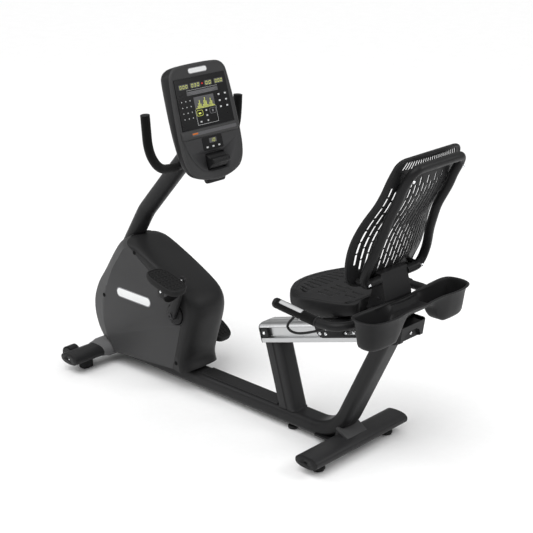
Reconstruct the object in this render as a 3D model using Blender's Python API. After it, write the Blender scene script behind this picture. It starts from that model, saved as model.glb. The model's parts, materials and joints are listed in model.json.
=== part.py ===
"""Recumbent exercise bike: frame, drive, console, sliding seat. Metres, +Z up.

+X points to the backrest, -X to the console, -Y is the rider's left. Sizes below are measured from a
datum on the floor, and DATUM_X moves the finished bike so that the origin is at the middle of its length.
"""

import math

import bmesh
import bpy
from mathutils import Matrix, Vector

GAP = 0.0003
SIDES = 24
ACROSS = Vector((0.0, 1.0, 0.0))
DATUM_X = -0.0199

# Base tube, bent up at the back into the rear upright
BASE_Z = 0.0530
BASE_WIDTH = 0.092
BASE_HEIGHT = 0.059
BASE_CORNER = 0.021
BASE_FRONT_X = -0.6825
BASE_BEND_RADIUS = 0.170
REAR_LEAN = math.radians(25.4)
REAR_FOOT_X = 0.479
WALL = 0.003

# Inclined seat rail: its own frame starts at the lower front edge
RAIL_ANGLE = math.radians(16.6)
RAIL_START = Vector((0.146, 0.0, 0.325))
RAIL_LENGTH = 0.630
RAIL_TOP = 0.0735
RAIL_HALF = 0.057
UPRIGHT_WIDTH = 0.080
UPRIGHT_DEPTH = 0.073

# Stabilisers
STAB_WIDTH = 0.100
STAB_HEIGHT = 0.044
REAR_STAB_X = 0.539
REAR_STAB_Z = 0.051
REAR_STAB_HALF = 0.250
FRONT_STAB_X = -0.733
FRONT_STAB_Z = 0.060
FRONT_STAB_HALF = 0.272
CAP_THICKNESS = 0.007
SADDLE_HALF = 0.043
SADDLE_TOP = 55
FOOT_Y = 0.190
WHEEL_RADIUS = 0.024
WHEEL_Y = 0.205
WHEEL_X = FRONT_STAB_X - 0.073
WHEEL_Z = 0.046

# Drive
CRANK = Vector((-0.280, 0.0, 0.332))
CRANK_LENGTH = 0.177
CRANK_TILT = math.radians(22.7)
CRANK_Y = 0.118
PEDAL_Y = 0.186
PEDAL_REACH = 0.013
PEDAL_PITCH = {"left": math.radians(14.7), "right": math.radians(30.0)}
PULLEY_RADIUS = 0.080
BRAKE = Vector((-0.545, 0.0, 0.300))
BRAKE_PULLEY_RADIUS = 0.024
BELT_Y = 0.030
BELT_WIDTH = 0.016

# Casing
CASING_HALF = 0.097
CASING_SHOULDER = 0.050
SHELL = 0.003

# Mast, handlebar and console
MAST_RADIUS = 0.035
MAST_PATH = [(-0.675, 0.0829), (-0.675, 0.461), (-0.540, 0.677), (-0.2175, 1.0335)]
BAR_RADIUS = 0.0175
BAR_CORE = 0.0135
BAR_X = -0.262
CONSOLE_CENTRE = Vector((-0.211, 0.0, 1.1654))
CONSOLE_TILT = math.radians(15.4)
CONSOLE_DEPTH = 0.0545
PADDLE_DROP = 0.221
PADDLE_RADIUS = 0.027

# Seat and back
CARRIAGE_FRONT = 0.288
CARRIAGE_REAR = 0.640
BRIDGE = 0.081
PLATE_INNER = 0.0600
PLATE = 0.0045
ROLLER_RADIUS = 0.0172
ROLLER_HEIGHT = 0.0365
ROLLER_STATIONS = (0.325, 0.600)
PIN_STATION = 0.380
REAR_COVER_X = 0.776
HANDLE_RADIUS = 0.0155
HANDLE_Y = 0.250
HANDLE_CROSS = Vector((0.676, 0.0, 0.5888))
LEVER_Y = -0.2255
LEVER_PIVOT = Vector((0.600, LEVER_Y, 0.563))
POST_TOP = 0.6120
PAN_TOP = 0.640
TUBE_RADIUS = 0.0160
BLOCK_HALF = 0.070
BUCKET_HALF = 0.276

COLOURS = {
    "frame_paint": ((0.030, 0.030, 0.031), 0.45, 0.0),
    "cover_plastic": ((0.058, 0.058, 0.059), 0.55, 0.0),
    "spine_plastic": ((0.034, 0.034, 0.035), 0.50, 0.0),
    "collar_plastic": ((0.150, 0.150, 0.152), 0.50, 0.0),
    "black_plastic": ((0.022, 0.022, 0.023), 0.50, 0.0),
    "seat_plastic": ((0.045, 0.045, 0.046), 0.50, 0.0),
    "rubber": ((0.014, 0.014, 0.014), 0.80, 0.0),
    "foam": ((0.010, 0.010, 0.010), 0.90, 0.0),
    "aluminium": ((0.640, 0.650, 0.655), 0.28, 1.0),
    "steel": ((0.560, 0.560, 0.570), 0.30, 1.0),
    "screen": ((0.012, 0.012, 0.013), 0.12, 0.0),
}


# --- scene and material helpers -------------------------------------------------------------


def clear_scene():
    for found in list(bpy.data.objects):
        bpy.data.objects.remove(found)


def material(name):
    made = bpy.data.materials.get(name)
    if made is None:
        colour, roughness, metallic = COLOURS[name]
        made = bpy.data.materials.new(name)
        made.use_nodes = True
        shader = made.node_tree.nodes["Principled BSDF"]
        shader.inputs["Base Color"].default_value = (*colour, 1.0)
        shader.inputs["Roughness"].default_value = roughness
        shader.inputs["Metallic"].default_value = metallic
    return made


def publish(name, bm, finish, origin=(0.0, 0.0, 0.0), sharp=38.0):
    """Turns a bmesh in datum coordinates into an object whose origin is at the given point."""
    bmesh.ops.recalc_face_normals(bm, faces=bm.faces)
    bmesh.ops.translate(bm, verts=bm.verts, vec=-Vector(origin))
    mesh = bpy.data.meshes.new(name)
    bm.to_mesh(mesh)
    bm.free()
    mesh.shade_smooth()
    mesh.set_sharp_from_angle(angle=math.radians(sharp))
    made = bpy.data.objects.new(name, mesh)
    made.location = Vector(origin) + Vector((DATUM_X, 0, 0))
    bpy.context.scene.collection.objects.link(made)
    mesh.materials.append(material(finish))
    return made


def helper(name, bm, finish="steel", origin=(0.0, 0.0, 0.0)):
    """Shape that only takes part in Booleans."""
    made = publish(name, bm, finish, origin)
    made.hide_render = True
    made.display_type = "WIRE"
    return made


def combine(target, tool, operation):
    boolean = target.modifiers.new(tool.name, "BOOLEAN")
    boolean.operation = operation
    boolean.solver = "EXACT"
    boolean.object = tool


def cut(target, cutter_bm, name):
    """Takes the cutter's shape out of the target."""
    combine(target, helper(name, cutter_bm), "DIFFERENCE")


def unite(name, parts, finish, origin=(0.0, 0.0, 0.0), sharp=38.0):
    """One solid from overlapping ones."""
    first = publish(name, parts[0], finish, origin, sharp)
    for number, other in enumerate(parts[1:]):
        combine(first, helper(f"{name}_add{number}", other, finish, origin), "UNION")
    return first


# --- outlines and paths ----------------------------------------------------------------------


def rounded_rect(width, height, radius, steps=4):
    """Counter-clockwise outline with round corners, as (a, b) pairs."""
    points = []
    for quarter, (sx, sy) in enumerate(((1, 1), (-1, 1), (-1, -1), (1, -1))):
        cx = sx * (width / 2 - radius)
        cy = sy * (height / 2 - radius)
        for step in range(steps + 1):
            angle = math.pi / 2 * (quarter + step / steps)
            points.append((cx + radius * math.cos(angle), cy + radius * math.sin(angle)))
    return points


def oval(a, b, power, count):
    """Superellipse outline with half-axes a and b."""
    points = []
    for i in range(count):
        angle = 2 * math.pi * i / count
        c = math.cos(angle)
        s = math.sin(angle)
        x = math.copysign(abs(c) ** (2 / power), c) * a
        y = math.copysign(abs(s) ** (2 / power), s) * b
        points.append((x, y))
    return points


def circle(radius, count=SIDES):
    return oval(radius, radius, 2.0, count)


def curve_through(points, per_span):
    """Catmull-Rom curve through points of any dimension."""
    ends = [2 * points[0] - points[1], *points, 2 * points[-1] - points[-2]]
    found = []
    for i in range(1, len(ends) - 2):
        p0, p1, p2, p3 = ends[i - 1 : i + 3]
        for step in range(per_span):
            t = step / per_span
            part = 2 * p1 + (p2 - p0) * t
            part = part + (2 * p0 - 5 * p1 + 4 * p2 - p3) * t**2
            part = part + (3 * p1 - p0 - 3 * p2 + p3) * t**3
            found.append(part / 2)
    found.append(points[-1].copy())
    return found


def bent_path(points, radii, step_angle=math.radians(9)):
    """Polyline with each inner corner replaced by an arc of the given radius."""
    path = [points[0].copy()]
    for before, corner, after, radius in zip(points, points[1:], points[2:], radii):
        back = (before - corner).normalized()
        ahead = (after - corner).normalized()
        turn = math.pi - back.angle(ahead)
        reach = radius * math.tan(turn / 2)
        centre = corner + (back + ahead).normalized() * (radius / math.cos(turn / 2))
        start = corner + back * reach - centre
        axis = start.cross(corner + ahead * reach - centre).normalized()
        steps = max(2, math.ceil(turn / step_angle))
        for step in range(steps + 1):
            path.append(centre + Matrix.Rotation(turn * step / steps, 3, axis) @ start)
    path.append(points[-1].copy())
    return path


def v2(points):
    return [Vector(p) for p in points]


def in_xz(points, y=0.0):
    return [Vector((x, y, z)) for x, z in points]


# --- solid builders --------------------------------------------------------------------------


def loft(rings, cyclic=False):
    """Closed solid through rings of equal length: capped at both ends, or joined end to start."""
    bm = bmesh.new()
    rows = [[bm.verts.new(p) for p in ring] for ring in rings]
    count = len(rows[0])
    pairs = list(zip(rows, rows[1:]))
    if cyclic:
        pairs.append((rows[-1], rows[0]))
    for low, high in pairs:
        for i in range(count):
            j = (i + 1) % count
            bm.faces.new((low[i], low[j], high[j], high[i]))
    if not cyclic:
        bm.faces.new(rows[0])
        bm.faces.new(rows[-1])
    return bm


def placed_rings(path, outline, side=None):
    """Outline copies square to the path. side, where given, is the outline's first axis throughout."""
    rings = []
    previous = side
    for i, point in enumerate(path):
        ahead = path[min(i + 1, len(path) - 1)] - path[i]
        behind = path[i] - path[max(i - 1, 0)]
        tangent = (ahead.normalized() + behind.normalized()).normalized()
        if previous is None:
            helper = Vector((0, 0, 1)) if abs(tangent.z) < 0.9 else Vector((1, 0, 0))
            previous = tangent.cross(helper)
        first = (previous - tangent * previous.dot(tangent)).normalized()
        second = tangent.cross(first)
        bend = ahead.angle(behind) if ahead.length and behind.length else 0.0
        stretch = 1 / math.cos(bend / 2)
        inward = (ahead.normalized() - behind.normalized()) if bend > 1e-4 else Vector()
        inward.normalize()
        ring = []
        for a, b in outline:
            offset = first * a + second * b
            ring.append(point + offset + inward * offset.dot(inward) * (stretch - 1))
        rings.append(ring)
        previous = first
    return rings


def rod(path, outline, side=None):
    return loft(placed_rings(path, outline, side))


def pipe(path, outer, inner, side=None):
    """Open tube: the outer skin, then the bore back to the start. Both outlines have as many points."""
    return loft(placed_rings(path, outer, side) + placed_rings(path, inner, side)[::-1], cyclic=True)


def prism(outline, low, high, axis="y"):
    """Outline pushed between two heights along an axis. Outline pairs are (x, z), (x, y) or (y, z)."""
    place = {
        "y": lambda a, b, h: Vector((a, h, b)),
        "z": lambda a, b, h: Vector((a, b, h)),
        "x": lambda a, b, h: Vector((h, a, b)),
    }[axis]
    return loft([[place(a, b, h) for a, b in outline] for h in (low, high)])


def turned_rings(profile, centre, axis, count):
    rings = []
    for radius, height in profile:
        if axis == "y":
            rings.append([centre + Vector((a, height, b)) for a, b in circle(radius, count)])
        else:
            rings.append([centre + Vector((a, b, height)) for a, b in circle(radius, count)])
    return rings


def lathe(profile, centre, axis="y", count=SIDES):
    """Turned solid. profile runs from one end of the axis to the other, as (radius, height) pairs."""
    return loft(turned_rings(profile, centre, axis, count))


def washer(profile, centre, axis="y", count=SIDES):
    """Turned ring: profile is a closed loop of (radius, height) pairs."""
    return loft(turned_rings(profile, centre, axis, count), cyclic=True)


def moved(bm, offset):
    bmesh.ops.translate(bm, verts=bm.verts, vec=offset)
    return bm


def shrink(outline, by):
    """Outline moved inward by a distance: each point slides along its own bisector."""
    found = []
    count = len(outline)
    points = v2(outline)
    area = sum(a.x * b.y - b.x * a.y for a, b in zip(points, points[1:] + points[:1]))
    turn = 1 if area > 0 else -1
    for i in range(count):
        a = (points[i] - points[i - 1]).normalized()
        b = (points[(i + 1) % count] - points[i]).normalized()
        normal_a = Vector((-a.y, a.x)) * turn
        normal_b = Vector((-b.y, b.x)) * turn
        middle = (normal_a + normal_b).normalized()
        found.append(tuple(points[i] + middle * (by / max(0.4, middle.dot(normal_a)))))
    return found


# --- rail frame ------------------------------------------------------------------------------

RAIL_ALONG = Vector((math.cos(RAIL_ANGLE), 0.0, math.sin(RAIL_ANGLE)))
RAIL_UP = Vector((-math.sin(RAIL_ANGLE), 0.0, math.cos(RAIL_ANGLE)))


def on_rail(along, y, up):
    return RAIL_START + RAIL_ALONG * along + Vector((0, y, 0)) + RAIL_UP * up


def rail_prism(outline, start, end):
    """Outline in (y, up) pushed along the rail."""
    return loft([[on_rail(s, a, b) for a, b in outline] for s in (start, end)])


def meet_rail(ring, direction, up):
    """Slides each point of a ring along a direction until it lies at a height over the rail's base."""
    found = []
    for point in ring:
        height = (point - RAIL_START).dot(RAIL_UP)
        found.append(point + direction * ((up - height) / direction.dot(RAIL_UP)))
    return found


# --- frame -----------------------------------------------------------------------------------


def base_frame():
    rise = Vector((math.sin(REAR_LEAN), 0, math.cos(REAR_LEAN)))
    foot = Vector((REAR_FOOT_X, 0, BASE_Z))
    points = [Vector((BASE_FRONT_X, 0, BASE_Z)), foot, foot + rise * 0.36]
    path = bent_path(points, [BASE_BEND_RADIUS], math.radians(8))
    outer = rounded_rect(BASE_WIDTH, BASE_HEIGHT, BASE_CORNER, 3)
    inner = rounded_rect(BASE_WIDTH - 2 * WALL, BASE_HEIGHT - 2 * WALL, BASE_CORNER - WALL, 3)
    skins = []
    for outline in (outer, inner):
        rings = placed_rings(path, outline, ACROSS)
        rings[-1] = meet_rail(rings[-1], rise, -GAP)
        skins.append(rings)
    publish("base_frame", loft(skins[0] + skins[1][::-1], cyclic=True), "frame_paint")


def front_upright():
    """Post from the base tube up to the front of the rail, with a groove down each side."""
    centre = RAIL_START + RAIL_ALONG * (UPRIGHT_DEPTH / 2 - 0.004)
    half = UPRIGHT_WIDTH / 2
    groove = 0.004
    seam = -UPRIGHT_DEPTH / 2 + 0.040
    corner = 0.018
    side = [(half - 0.003, -UPRIGHT_DEPTH / 2), (half, 0.003 - UPRIGHT_DEPTH / 2), (half, seam - groove)]
    side += [(half - groove, seam), (half, seam + groove)]
    for step in range(4):
        angle = math.pi / 2 * step / 3
        a = half - corner + corner * math.cos(angle)
        side.append((a, UPRIGHT_DEPTH / 2 - corner + corner * math.sin(angle)))
    outline = side + [(-a, b) for a, b in side[::-1]]
    low = BASE_Z + BASE_HEIGHT / 2 + GAP
    skins = []
    for shape in (outline, shrink(outline, 0.0055)):
        ring = [centre + Vector((0, a, 0)) + RAIL_ALONG * b for a, b in shape]
        bottom = [p - RAIL_UP * ((p.z - low) / RAIL_UP.z) for p in ring]
        skins.append([bottom, meet_rail(ring, RAIL_UP, -GAP)])
    publish("front_upright", loft(skins[0] + skins[1][::-1], cyclic=True), "frame_paint")


def step_cover():
    """Ribbed tread on top of the base tube, between the casing and the front upright."""
    low = BASE_Z + BASE_HEIGHT / 2 + GAP
    top = low + 0.0055
    half = 0.030
    ribs = 7
    outline = [(-half - 0.004, low), (half + 0.004, low), (half, top - 0.001)]
    pitch = 2 * half / ribs
    for rib in range(ribs):
        edge = half - pitch * rib
        outline.append((edge - pitch * 0.2, top))
        outline.append((edge - pitch * 0.6, top))
        outline.append((edge - pitch * 0.75, top - 0.001))
        outline.append((edge - pitch * 0.95, top - 0.001))
    publish("step_cover", prism(outline, -0.205, 0.198, "x"), "spine_plastic")


def stabiliser(name, x, z, half):
    outer = oval(STAB_WIDTH / 2, STAB_HEIGHT / 2, 2.5, 28)
    path = [Vector((x, -half, z)), Vector((x, half, z))]
    return publish(name, pipe(path, outer, shrink(outer, WALL), Vector((1, 0, 0))), "frame_paint")


def end_cap(name, x, z, half, side):
    outer = oval(STAB_WIDTH / 2, STAB_HEIGHT / 2, 2.5, 28)
    rings = []
    for inset, out in ((0.0, GAP), (0.0, 0.004), (0.0035, CAP_THICKNESS)):
        rings.append([Vector((x + a, side * (half + out), z + b)) for a, b in shrink(outer, inset)])
    cap = publish(name, loft(rings), "black_plastic")
    hole = prism(circle(0.005, 12), side * (half + 0.003), side * (half + 0.012))
    cut(cap, moved(hole, (x, 0, z)), f"{name}_hole")


def rear_saddle():
    """Bracket that carries the frame's bend on the rear stabiliser."""
    radius = BASE_BEND_RADIUS + BASE_HEIGHT / 2 + GAP * 2
    turn = math.pi / 2 - REAR_LEAN
    bend = Vector((REAR_FOOT_X - BASE_BEND_RADIUS * math.tan(turn / 2), BASE_Z + BASE_BEND_RADIUS))
    lower = []
    for step in range(13):
        angle = math.radians(147 - 9.5 * step)
        c = math.cos(angle)
        s = math.sin(angle)
        a = math.copysign(abs(c) ** 0.8, c) * (STAB_WIDTH / 2 + 0.0008)
        lower.append((REAR_STAB_X + a, REAR_STAB_Z + abs(s) ** 0.8 * (STAB_HEIGHT / 2 + 0.0008)))
    upper = []
    for step in range(9):
        angle = math.radians(SADDLE_TOP - (SADDLE_TOP - 29) * step / 8)
        upper.append((bend.x + radius * math.sin(angle), bend.y - radius * math.cos(angle)))
    rear = [(lower[-1][0] + 0.005, lower[-1][1] + 0.006), (upper[0][0] + 0.006, upper[0][1] + 0.001)]
    publish("rear_saddle", prism(lower + rear + upper, -SADDLE_HALF, SADDLE_HALF), "frame_paint")


def levelling_feet():
    """Scalloped rubber pads on threaded studs under the rear stabiliser."""
    top = REAR_STAB_Z - STAB_HEIGHT / 2 - GAP
    profile = [(0.019, 0.0, 0), (0.0235, 0.002, 0.0012), (0.0235, 0.013, 0.0012), (0.019, 0.016, 0)]
    profile += [(0.006, 0.017, 0), (0.006, top, 0)]
    for side, name in ((-1, "rear_left_foot"), (1, "rear_right_foot")):
        centre = Vector((REAR_STAB_X, side * FOOT_Y, 0))
        rings = []
        for radius, height, scallop in profile:
            ring = []
            for i in range(32):
                angle = 2 * math.pi * i / 32
                r = radius + scallop * math.cos(8 * angle)
                ring.append(centre + Vector((r * math.cos(angle), r * math.sin(angle), height)))
            rings.append(ring)
        publish(name, loft(rings), "rubber")


def front_feet():
    """Rubber bars under the ends of the front stabiliser."""
    top = FRONT_STAB_Z - STAB_HEIGHT / 2 - GAP
    outline = rounded_rect(0.040, 0.052, 0.010, 3)
    for side, name in ((-1, "front_left_foot"), (1, "front_right_foot")):
        rings = []
        for scale, height in ((0.86, 0.0), (1.0, 0.004), (1.0, top - 0.004), (0.8, top)):
            ring = []
            for a, b in outline:
                ring.append(Vector((FRONT_STAB_X + a * scale, side * FOOT_Y + b * scale, height)))
            rings.append(ring)
        publish(name, loft(rings), "rubber")


def fork_parts(side):
    """Two cheeks and the axle pin of one transport wheel, welded to the front stabiliser."""
    front = FRONT_STAB_X - STAB_WIDTH / 2
    shape = [(front + 0.020, WHEEL_Z + 0.026), (front + 0.006, WHEEL_Z - 0.004)]
    for step in range(7):
        angle = math.radians(-60 - 30 * step)
        shape.append((WHEEL_X + 0.015 * math.cos(angle), WHEEL_Z + 0.015 * math.sin(angle)))
    y = side * WHEEL_Y
    parts = [prism(shape, y + offset - 0.0025, y + offset + 0.0025) for offset in (-0.0145, 0.0145)]
    pin = Vector((WHEEL_X, y, WHEEL_Z))
    return parts + [lathe([(0.005, -0.0165), (0.005, 0.0165)], pin, "y", 16)]


def front_stabiliser():
    made = stabiliser("front_stabiliser", FRONT_STAB_X, FRONT_STAB_Z, FRONT_STAB_HALF)
    bore = prism(shrink(oval(STAB_WIDTH / 2, STAB_HEIGHT / 2, 2.5, 28), WALL), -0.3, 0.3)
    for number, part in enumerate(fork_parts(-1) + fork_parts(1)):
        combine(made, helper(f"fork_part{number}", part, "frame_paint"), "UNION")
    cut(made, moved(bore, (FRONT_STAB_X, 0, FRONT_STAB_Z)), "stabiliser_bore")


def transport_wheels():
    bore = 0.0053
    tread = WHEEL_RADIUS
    profile = [(bore, -0.0110), (0.010, -0.0110), (0.012, -0.0090), (tread - 0.002, -0.0090)]
    profile += [(tread, -0.006), (tread, 0.006), (tread - 0.002, 0.009), (0.012, 0.009)]
    profile += [(0.010, 0.011), (bore, 0.011)]
    for side, word in ((-1, "left"), (1, "right")):
        centre = Vector((WHEEL_X, side * WHEEL_Y, WHEEL_Z))
        publish(f"{word}_transport_wheel", washer(profile, centre, "y", 20), "rubber", centre)


def mast():
    """Bent tube from the base up into the console. The handlebar passes through it."""
    path = bent_path(in_xz(MAST_PATH), [0.22, 0.30], math.radians(5))
    made = publish("mast", pipe(path, circle(MAST_RADIUS), circle(MAST_RADIUS - WALL), ACROSS), "frame_paint")
    bar = bar_half()[0]
    cut(made, moved(prism(circle(BAR_CORE + GAP, 16), -0.06, 0.06), (bar.x, 0, bar.z)), "bar_hole")


def mast_room():
    """Clearance round the mast, for the covers it passes through."""
    path = bent_path(in_xz(MAST_PATH), [0.22, 0.30], math.radians(5))
    return rod(path, circle(MAST_RADIUS + GAP), ACROSS)


def rail():
    """Aluminium extrusion with an open channel for the rollers along each side."""
    half = [(0.020, RAIL_TOP), (0.036, RAIL_TOP - 0.0012), (0.048, RAIL_TOP - 0.0048)]
    half += [(0.0545, RAIL_TOP - 0.0105), (RAIL_HALF - 0.001, 0.0560), (0.041, 0.0540)]
    half += [(0.041, 0.0190), (RAIL_HALF - 0.001, 0.0170), (RAIL_HALF, 0.0150)]
    half += [(RAIL_HALF, 0.0), (0.033, 0.0), (0.033, 0.0580)]
    publish("seat_rail", rail_prism(half + [(-a, b) for a, b in half[::-1]], 0.0, RAIL_LENGTH), "aluminium")
    cap = half[:5] + [(RAIL_HALF, 0.0150), (RAIL_HALF, 0.0)]
    parts = [rail_prism(cap + [(-a, b) for a, b in cap[::-1]], -0.0045, -GAP)]
    for side in (-1, 1):
        stop = [(side * a, b) for a, b in ((0.0415, 0.0205), (0.0545, 0.0205), (0.0545, 0.0525))]
        parts.append(rail_prism(stop + [(side * 0.0415, 0.0525)], -0.002, 0.034))
    unite("rail_front_cap", parts, "black_plastic")


# --- drive -----------------------------------------------------------------------------------


def crank_point(side, distance):
    """Point on a crank arm's line. The left crank points up, the right one down."""
    sign = -side
    tilt = Vector((math.sin(CRANK_TILT), 0, math.cos(CRANK_TILT)))
    return CRANK + tilt * (sign * distance)


def crank_parts():
    axle = [(0.0095, -CRANK_Y - 0.004), (0.0095, CRANK_Y + 0.004)]
    publish("crank_axle", lathe(axle, CRANK, "y", 20), "steel", CRANK)
    hub = 0.0098
    pulley = [(hub, BELT_Y - 0.014), (0.022, BELT_Y - 0.014), (0.022, BELT_Y - 0.004)]
    pulley += [(PULLEY_RADIUS - 0.012, BELT_Y - 0.004), (PULLEY_RADIUS - 0.010, BELT_Y - 0.009)]
    pulley += [(PULLEY_RADIUS, BELT_Y - 0.009), (PULLEY_RADIUS, BELT_Y + 0.009)]
    pulley += [(PULLEY_RADIUS - 0.010, BELT_Y + 0.009), (PULLEY_RADIUS - 0.012, BELT_Y + 0.004)]
    pulley += [(0.022, BELT_Y + 0.004), (0.022, BELT_Y + 0.012), (hub, BELT_Y + 0.012)]
    publish("drive_pulley", washer(pulley, CRANK, "y", 40), "black_plastic", CRANK)
    for side, word in ((-1, "left"), (1, "right")):
        crank_arm(side, word)
        disc = [(0.0101, side * 0.0990), (0.0395, side * 0.0990), (0.0395, side * 0.1035)]
        disc += [(0.034, side * 0.1065), (0.018, side * 0.1080), (0.0101, side * 0.1080)]
        publish(f"{word}_crank_disc", washer(disc, CRANK, "y", 28), "black_plastic", CRANK)


def crank_arm(side, word):
    """Forged arm: a boss on the axle and the pedal spindle screwed into its eye."""
    inner = side * (CRANK_Y - 0.006)
    outer = side * (CRANK_Y + 0.008)
    end = crank_point(side, CRANK_LENGTH)
    along = (end - CRANK).normalized()
    across = ACROSS.cross(along)
    shape = []
    for centre, radius, first in ((CRANK, 0.019, 90), (end, 0.0155, -90)):
        for step in range(9):
            angle = math.radians(first + 180 * step / 8)
            shape.append(centre + (across * math.sin(angle) + along * math.cos(angle)) * radius)
    rings = [[Vector((p.x, y, p.z)) for p in shape] for y in (inner, outer)]
    spindle = [(0.0075, inner), (0.0075, outer + side * 0.002), (0.0065, outer + side * 0.004)]
    spindle += [(0.0065, side * (PEDAL_Y + 0.040))]
    parts = [loft(rings), lathe(spindle, end, "y", 16)]
    arm = unite(f"{word}_crank_arm", parts, "frame_paint", CRANK)
    low, high = sorted((inner, outer))
    cut(arm, lathe([(0.0098, low - 0.01), (0.0098, high + 0.01)], CRANK, "y", 20), f"{word}_arm_bore")


def pedal(side, word):
    """Platform that swings on its spindle, with a strap arched under it."""
    end = crank_point(side, CRANK_LENGTH)
    centre = Vector((end.x, side * PEDAL_Y, end.z))
    turn = Matrix.Rotation(PEDAL_PITCH[word], 3, "Y")
    outline = [(a - PEDAL_REACH, b) for a, b in oval(0.066 + PEDAL_REACH, 0.049, 3.4, 32)]
    rings = []
    for scale, height in ((0.93, -0.0130), (1.0, -0.0100), (1.0, 0.0085), (0.95, 0.0120)):
        rings.append([centre + turn @ Vector((a * scale, b * scale, height)) for a, b in outline])
    body = publish(f"{word}_pedal", loft(rings), "rubber", centre)
    cut(body, lathe([(0.0068, -side * 0.08), (0.0068, side * 0.0415)], centre, "y", 16), f"{word}_pedal_bore")
    band = []
    for step in range(15):
        angle = math.pi * step / 14
        drop = -0.0135 - 0.050 * math.sin(angle) ** 0.8
        band.append(centre + turn @ Vector((0.004, 0.044 * math.cos(angle), drop)))
    section = [(-0.017, -0.0015), (0.017, -0.0015), (0.017, 0.0015), (-0.017, 0.0015)]
    publish(f"{word}_pedal_strap", rod(band, section, turn @ Vector((1, 0, 0))), "rubber", centre)


def brake_rotor():
    """Flywheel and small pulley of the resistance brake, on one hub."""
    rotor = [(0.0083, -0.040), (0.012, -0.040), (0.012, -0.028), (0.078, -0.028), (0.078, -0.006)]
    rotor += [(0.012, -0.006), (0.012, BELT_Y - 0.010), (BRAKE_PULLEY_RADIUS, BELT_Y - 0.009)]
    rotor += [(BRAKE_PULLEY_RADIUS, BELT_Y + 0.009), (0.0083, BELT_Y + 0.009)]
    publish("brake_rotor", washer(rotor, BRAKE, "y", 32), "steel", BRAKE)


def belt():
    """Belt round both pulleys."""
    big = PULLEY_RADIUS + 0.0005
    small = BRAKE_PULLEY_RADIUS + 0.0005
    along = (BRAKE - CRANK).normalized()
    across = ACROSS.cross(along)
    lean = math.asin((big - small) / (BRAKE - CRANK).length)
    skins = []
    for grow in (0.0, 0.0035):
        shape = []
        for centre, radius, first, last, steps in (
            (CRANK, big + grow, math.pi / 2 - lean, 3 * math.pi / 2 + lean, 26),
            (BRAKE, small + grow, -math.pi / 2 + lean, math.pi / 2 - lean, 12),
        ):
            for step in range(steps + 1):
                angle = first + (last - first) * step / steps
                shape.append(centre + (along * math.cos(angle) + across * math.sin(angle)) * radius)
        skins.append(shape)
    inside, outside = skins
    rings = []
    for shape, side in ((inside, -1), (outside, -1), (outside, 1), (inside, 1)):
        rings.append([p + ACROSS * (BELT_Y + side * BELT_WIDTH / 2) for p in shape])
    publish("drive_belt", loft(rings, cyclic=True), "rubber")


def drive_frame():
    """Welded plates on the base tube that hold the crank bearing and the brake axle."""
    low = BASE_Z + BASE_HEIGHT / 2 + GAP
    plate = [(-0.600, low), (-0.268, low), (-0.268, low + 0.004), (-0.600, low + 0.004)]
    parts = [prism(plate, -0.056, 0.0)]
    for centre, foot, head in ((CRANK, 0.030, 0.034), (BRAKE, 0.040, 0.022)):
        x = centre.x
        top = centre.z + head
        shape = [(x - foot, low), (x + foot, low), (x + 0.7 * foot, centre.z), (x + 0.3 * foot, top)]
        shape += [(x - 0.3 * foot, top), (x - 0.7 * foot, centre.z)]
        parts.append(prism(shape, -0.052, -0.046))
    parts.append(lathe([(0.0210, -0.052), (0.0210, 0.008)], CRANK))
    parts.append(lathe([(0.0080, -0.050), (0.0080, 0.042)], BRAKE, "y", 16))
    made = unite("drive_frame", parts, "frame_paint")
    cut(made, lathe([(0.0098, -0.1), (0.0098, 0.1)], CRANK, "y", 20), "bearing_bore")


# --- casing ----------------------------------------------------------------------------------

# Matching points round the casing, as seen from the side: the flat cheek's edge, then the outer edge.
# They run from the bottom front corner, up the front, over the mast foot and down the spine.
CASING_CHEEK = [
    (-0.660, 0.060), (-0.700, 0.125), (-0.716, 0.185), (-0.719, 0.235), (-0.7095, 0.285), (-0.690, 0.345),
    (-0.655, 0.422), (-0.612, 0.482), (-0.578, 0.528), (-0.545, 0.545), (-0.500, 0.533), (-0.430, 0.507),
    (-0.345, 0.468), (-0.264, 0.424), (-0.228, 0.392), (-0.216, 0.356), (-0.222, 0.310), (-0.238, 0.248),
    (-0.258, 0.180), (-0.268, 0.125), (-0.266, 0.086),
]
CASING_EDGE = [
    (-0.775, 0.075), (-0.808, 0.118), (-0.829, 0.175), (-0.832, 0.228), (-0.822, 0.272), (-0.796, 0.327),
    (-0.749, 0.391), (-0.694, 0.474), (-0.644, 0.535), (-0.585, 0.571), (-0.532, 0.570), (-0.427, 0.526),
    (-0.333, 0.486), (-0.243, 0.443), (-0.203, 0.412), (-0.182, 0.376), (-0.179, 0.338), (-0.194, 0.285),
    (-0.222, 0.205), (-0.244, 0.140), (-0.224, 0.098),
]
SEAM = [(-0.545, 0.545), (-0.519, 0.5306), (-0.470, 0.4996), (-0.4205, 0.470), (-0.330, 0.400)]
SEAM += [(-0.262, 0.318), (-0.254, 0.286), (-0.284, 0.171), (-0.307, 0.092)]
SEAM_START = 9
CASING_LEVELS = 6


def casing_point(index, level):
    """level 0 is the flat cheek's edge and level 1 is the middle of the bike."""
    cheek = Vector(CASING_CHEEK[index])
    edge = Vector(CASING_EDGE[index])
    shoulder = 0.72
    if index < SEAM_START:
        if level <= shoulder:
            t = level / shoulder
            flat = cheek.lerp(edge, t * 0.94 + 0.06 * math.sin(t * math.pi / 2))
            y = CASING_HALF + (CASING_SHOULDER - CASING_HALF) * t
        else:
            t = (level - shoulder) / (1 - shoulder)
            flat = edge + (edge - cheek).normalized() * 0.006 * math.sin(t * math.pi / 2)
            y = CASING_SHOULDER * (1 - t)
    else:
        angle = level * math.pi / 2
        flat = cheek.lerp(edge, math.sin(angle) ** 0.9)
        y = CASING_HALF * math.cos(angle) ** 0.8
    return flat.x, y, flat.y


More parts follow.
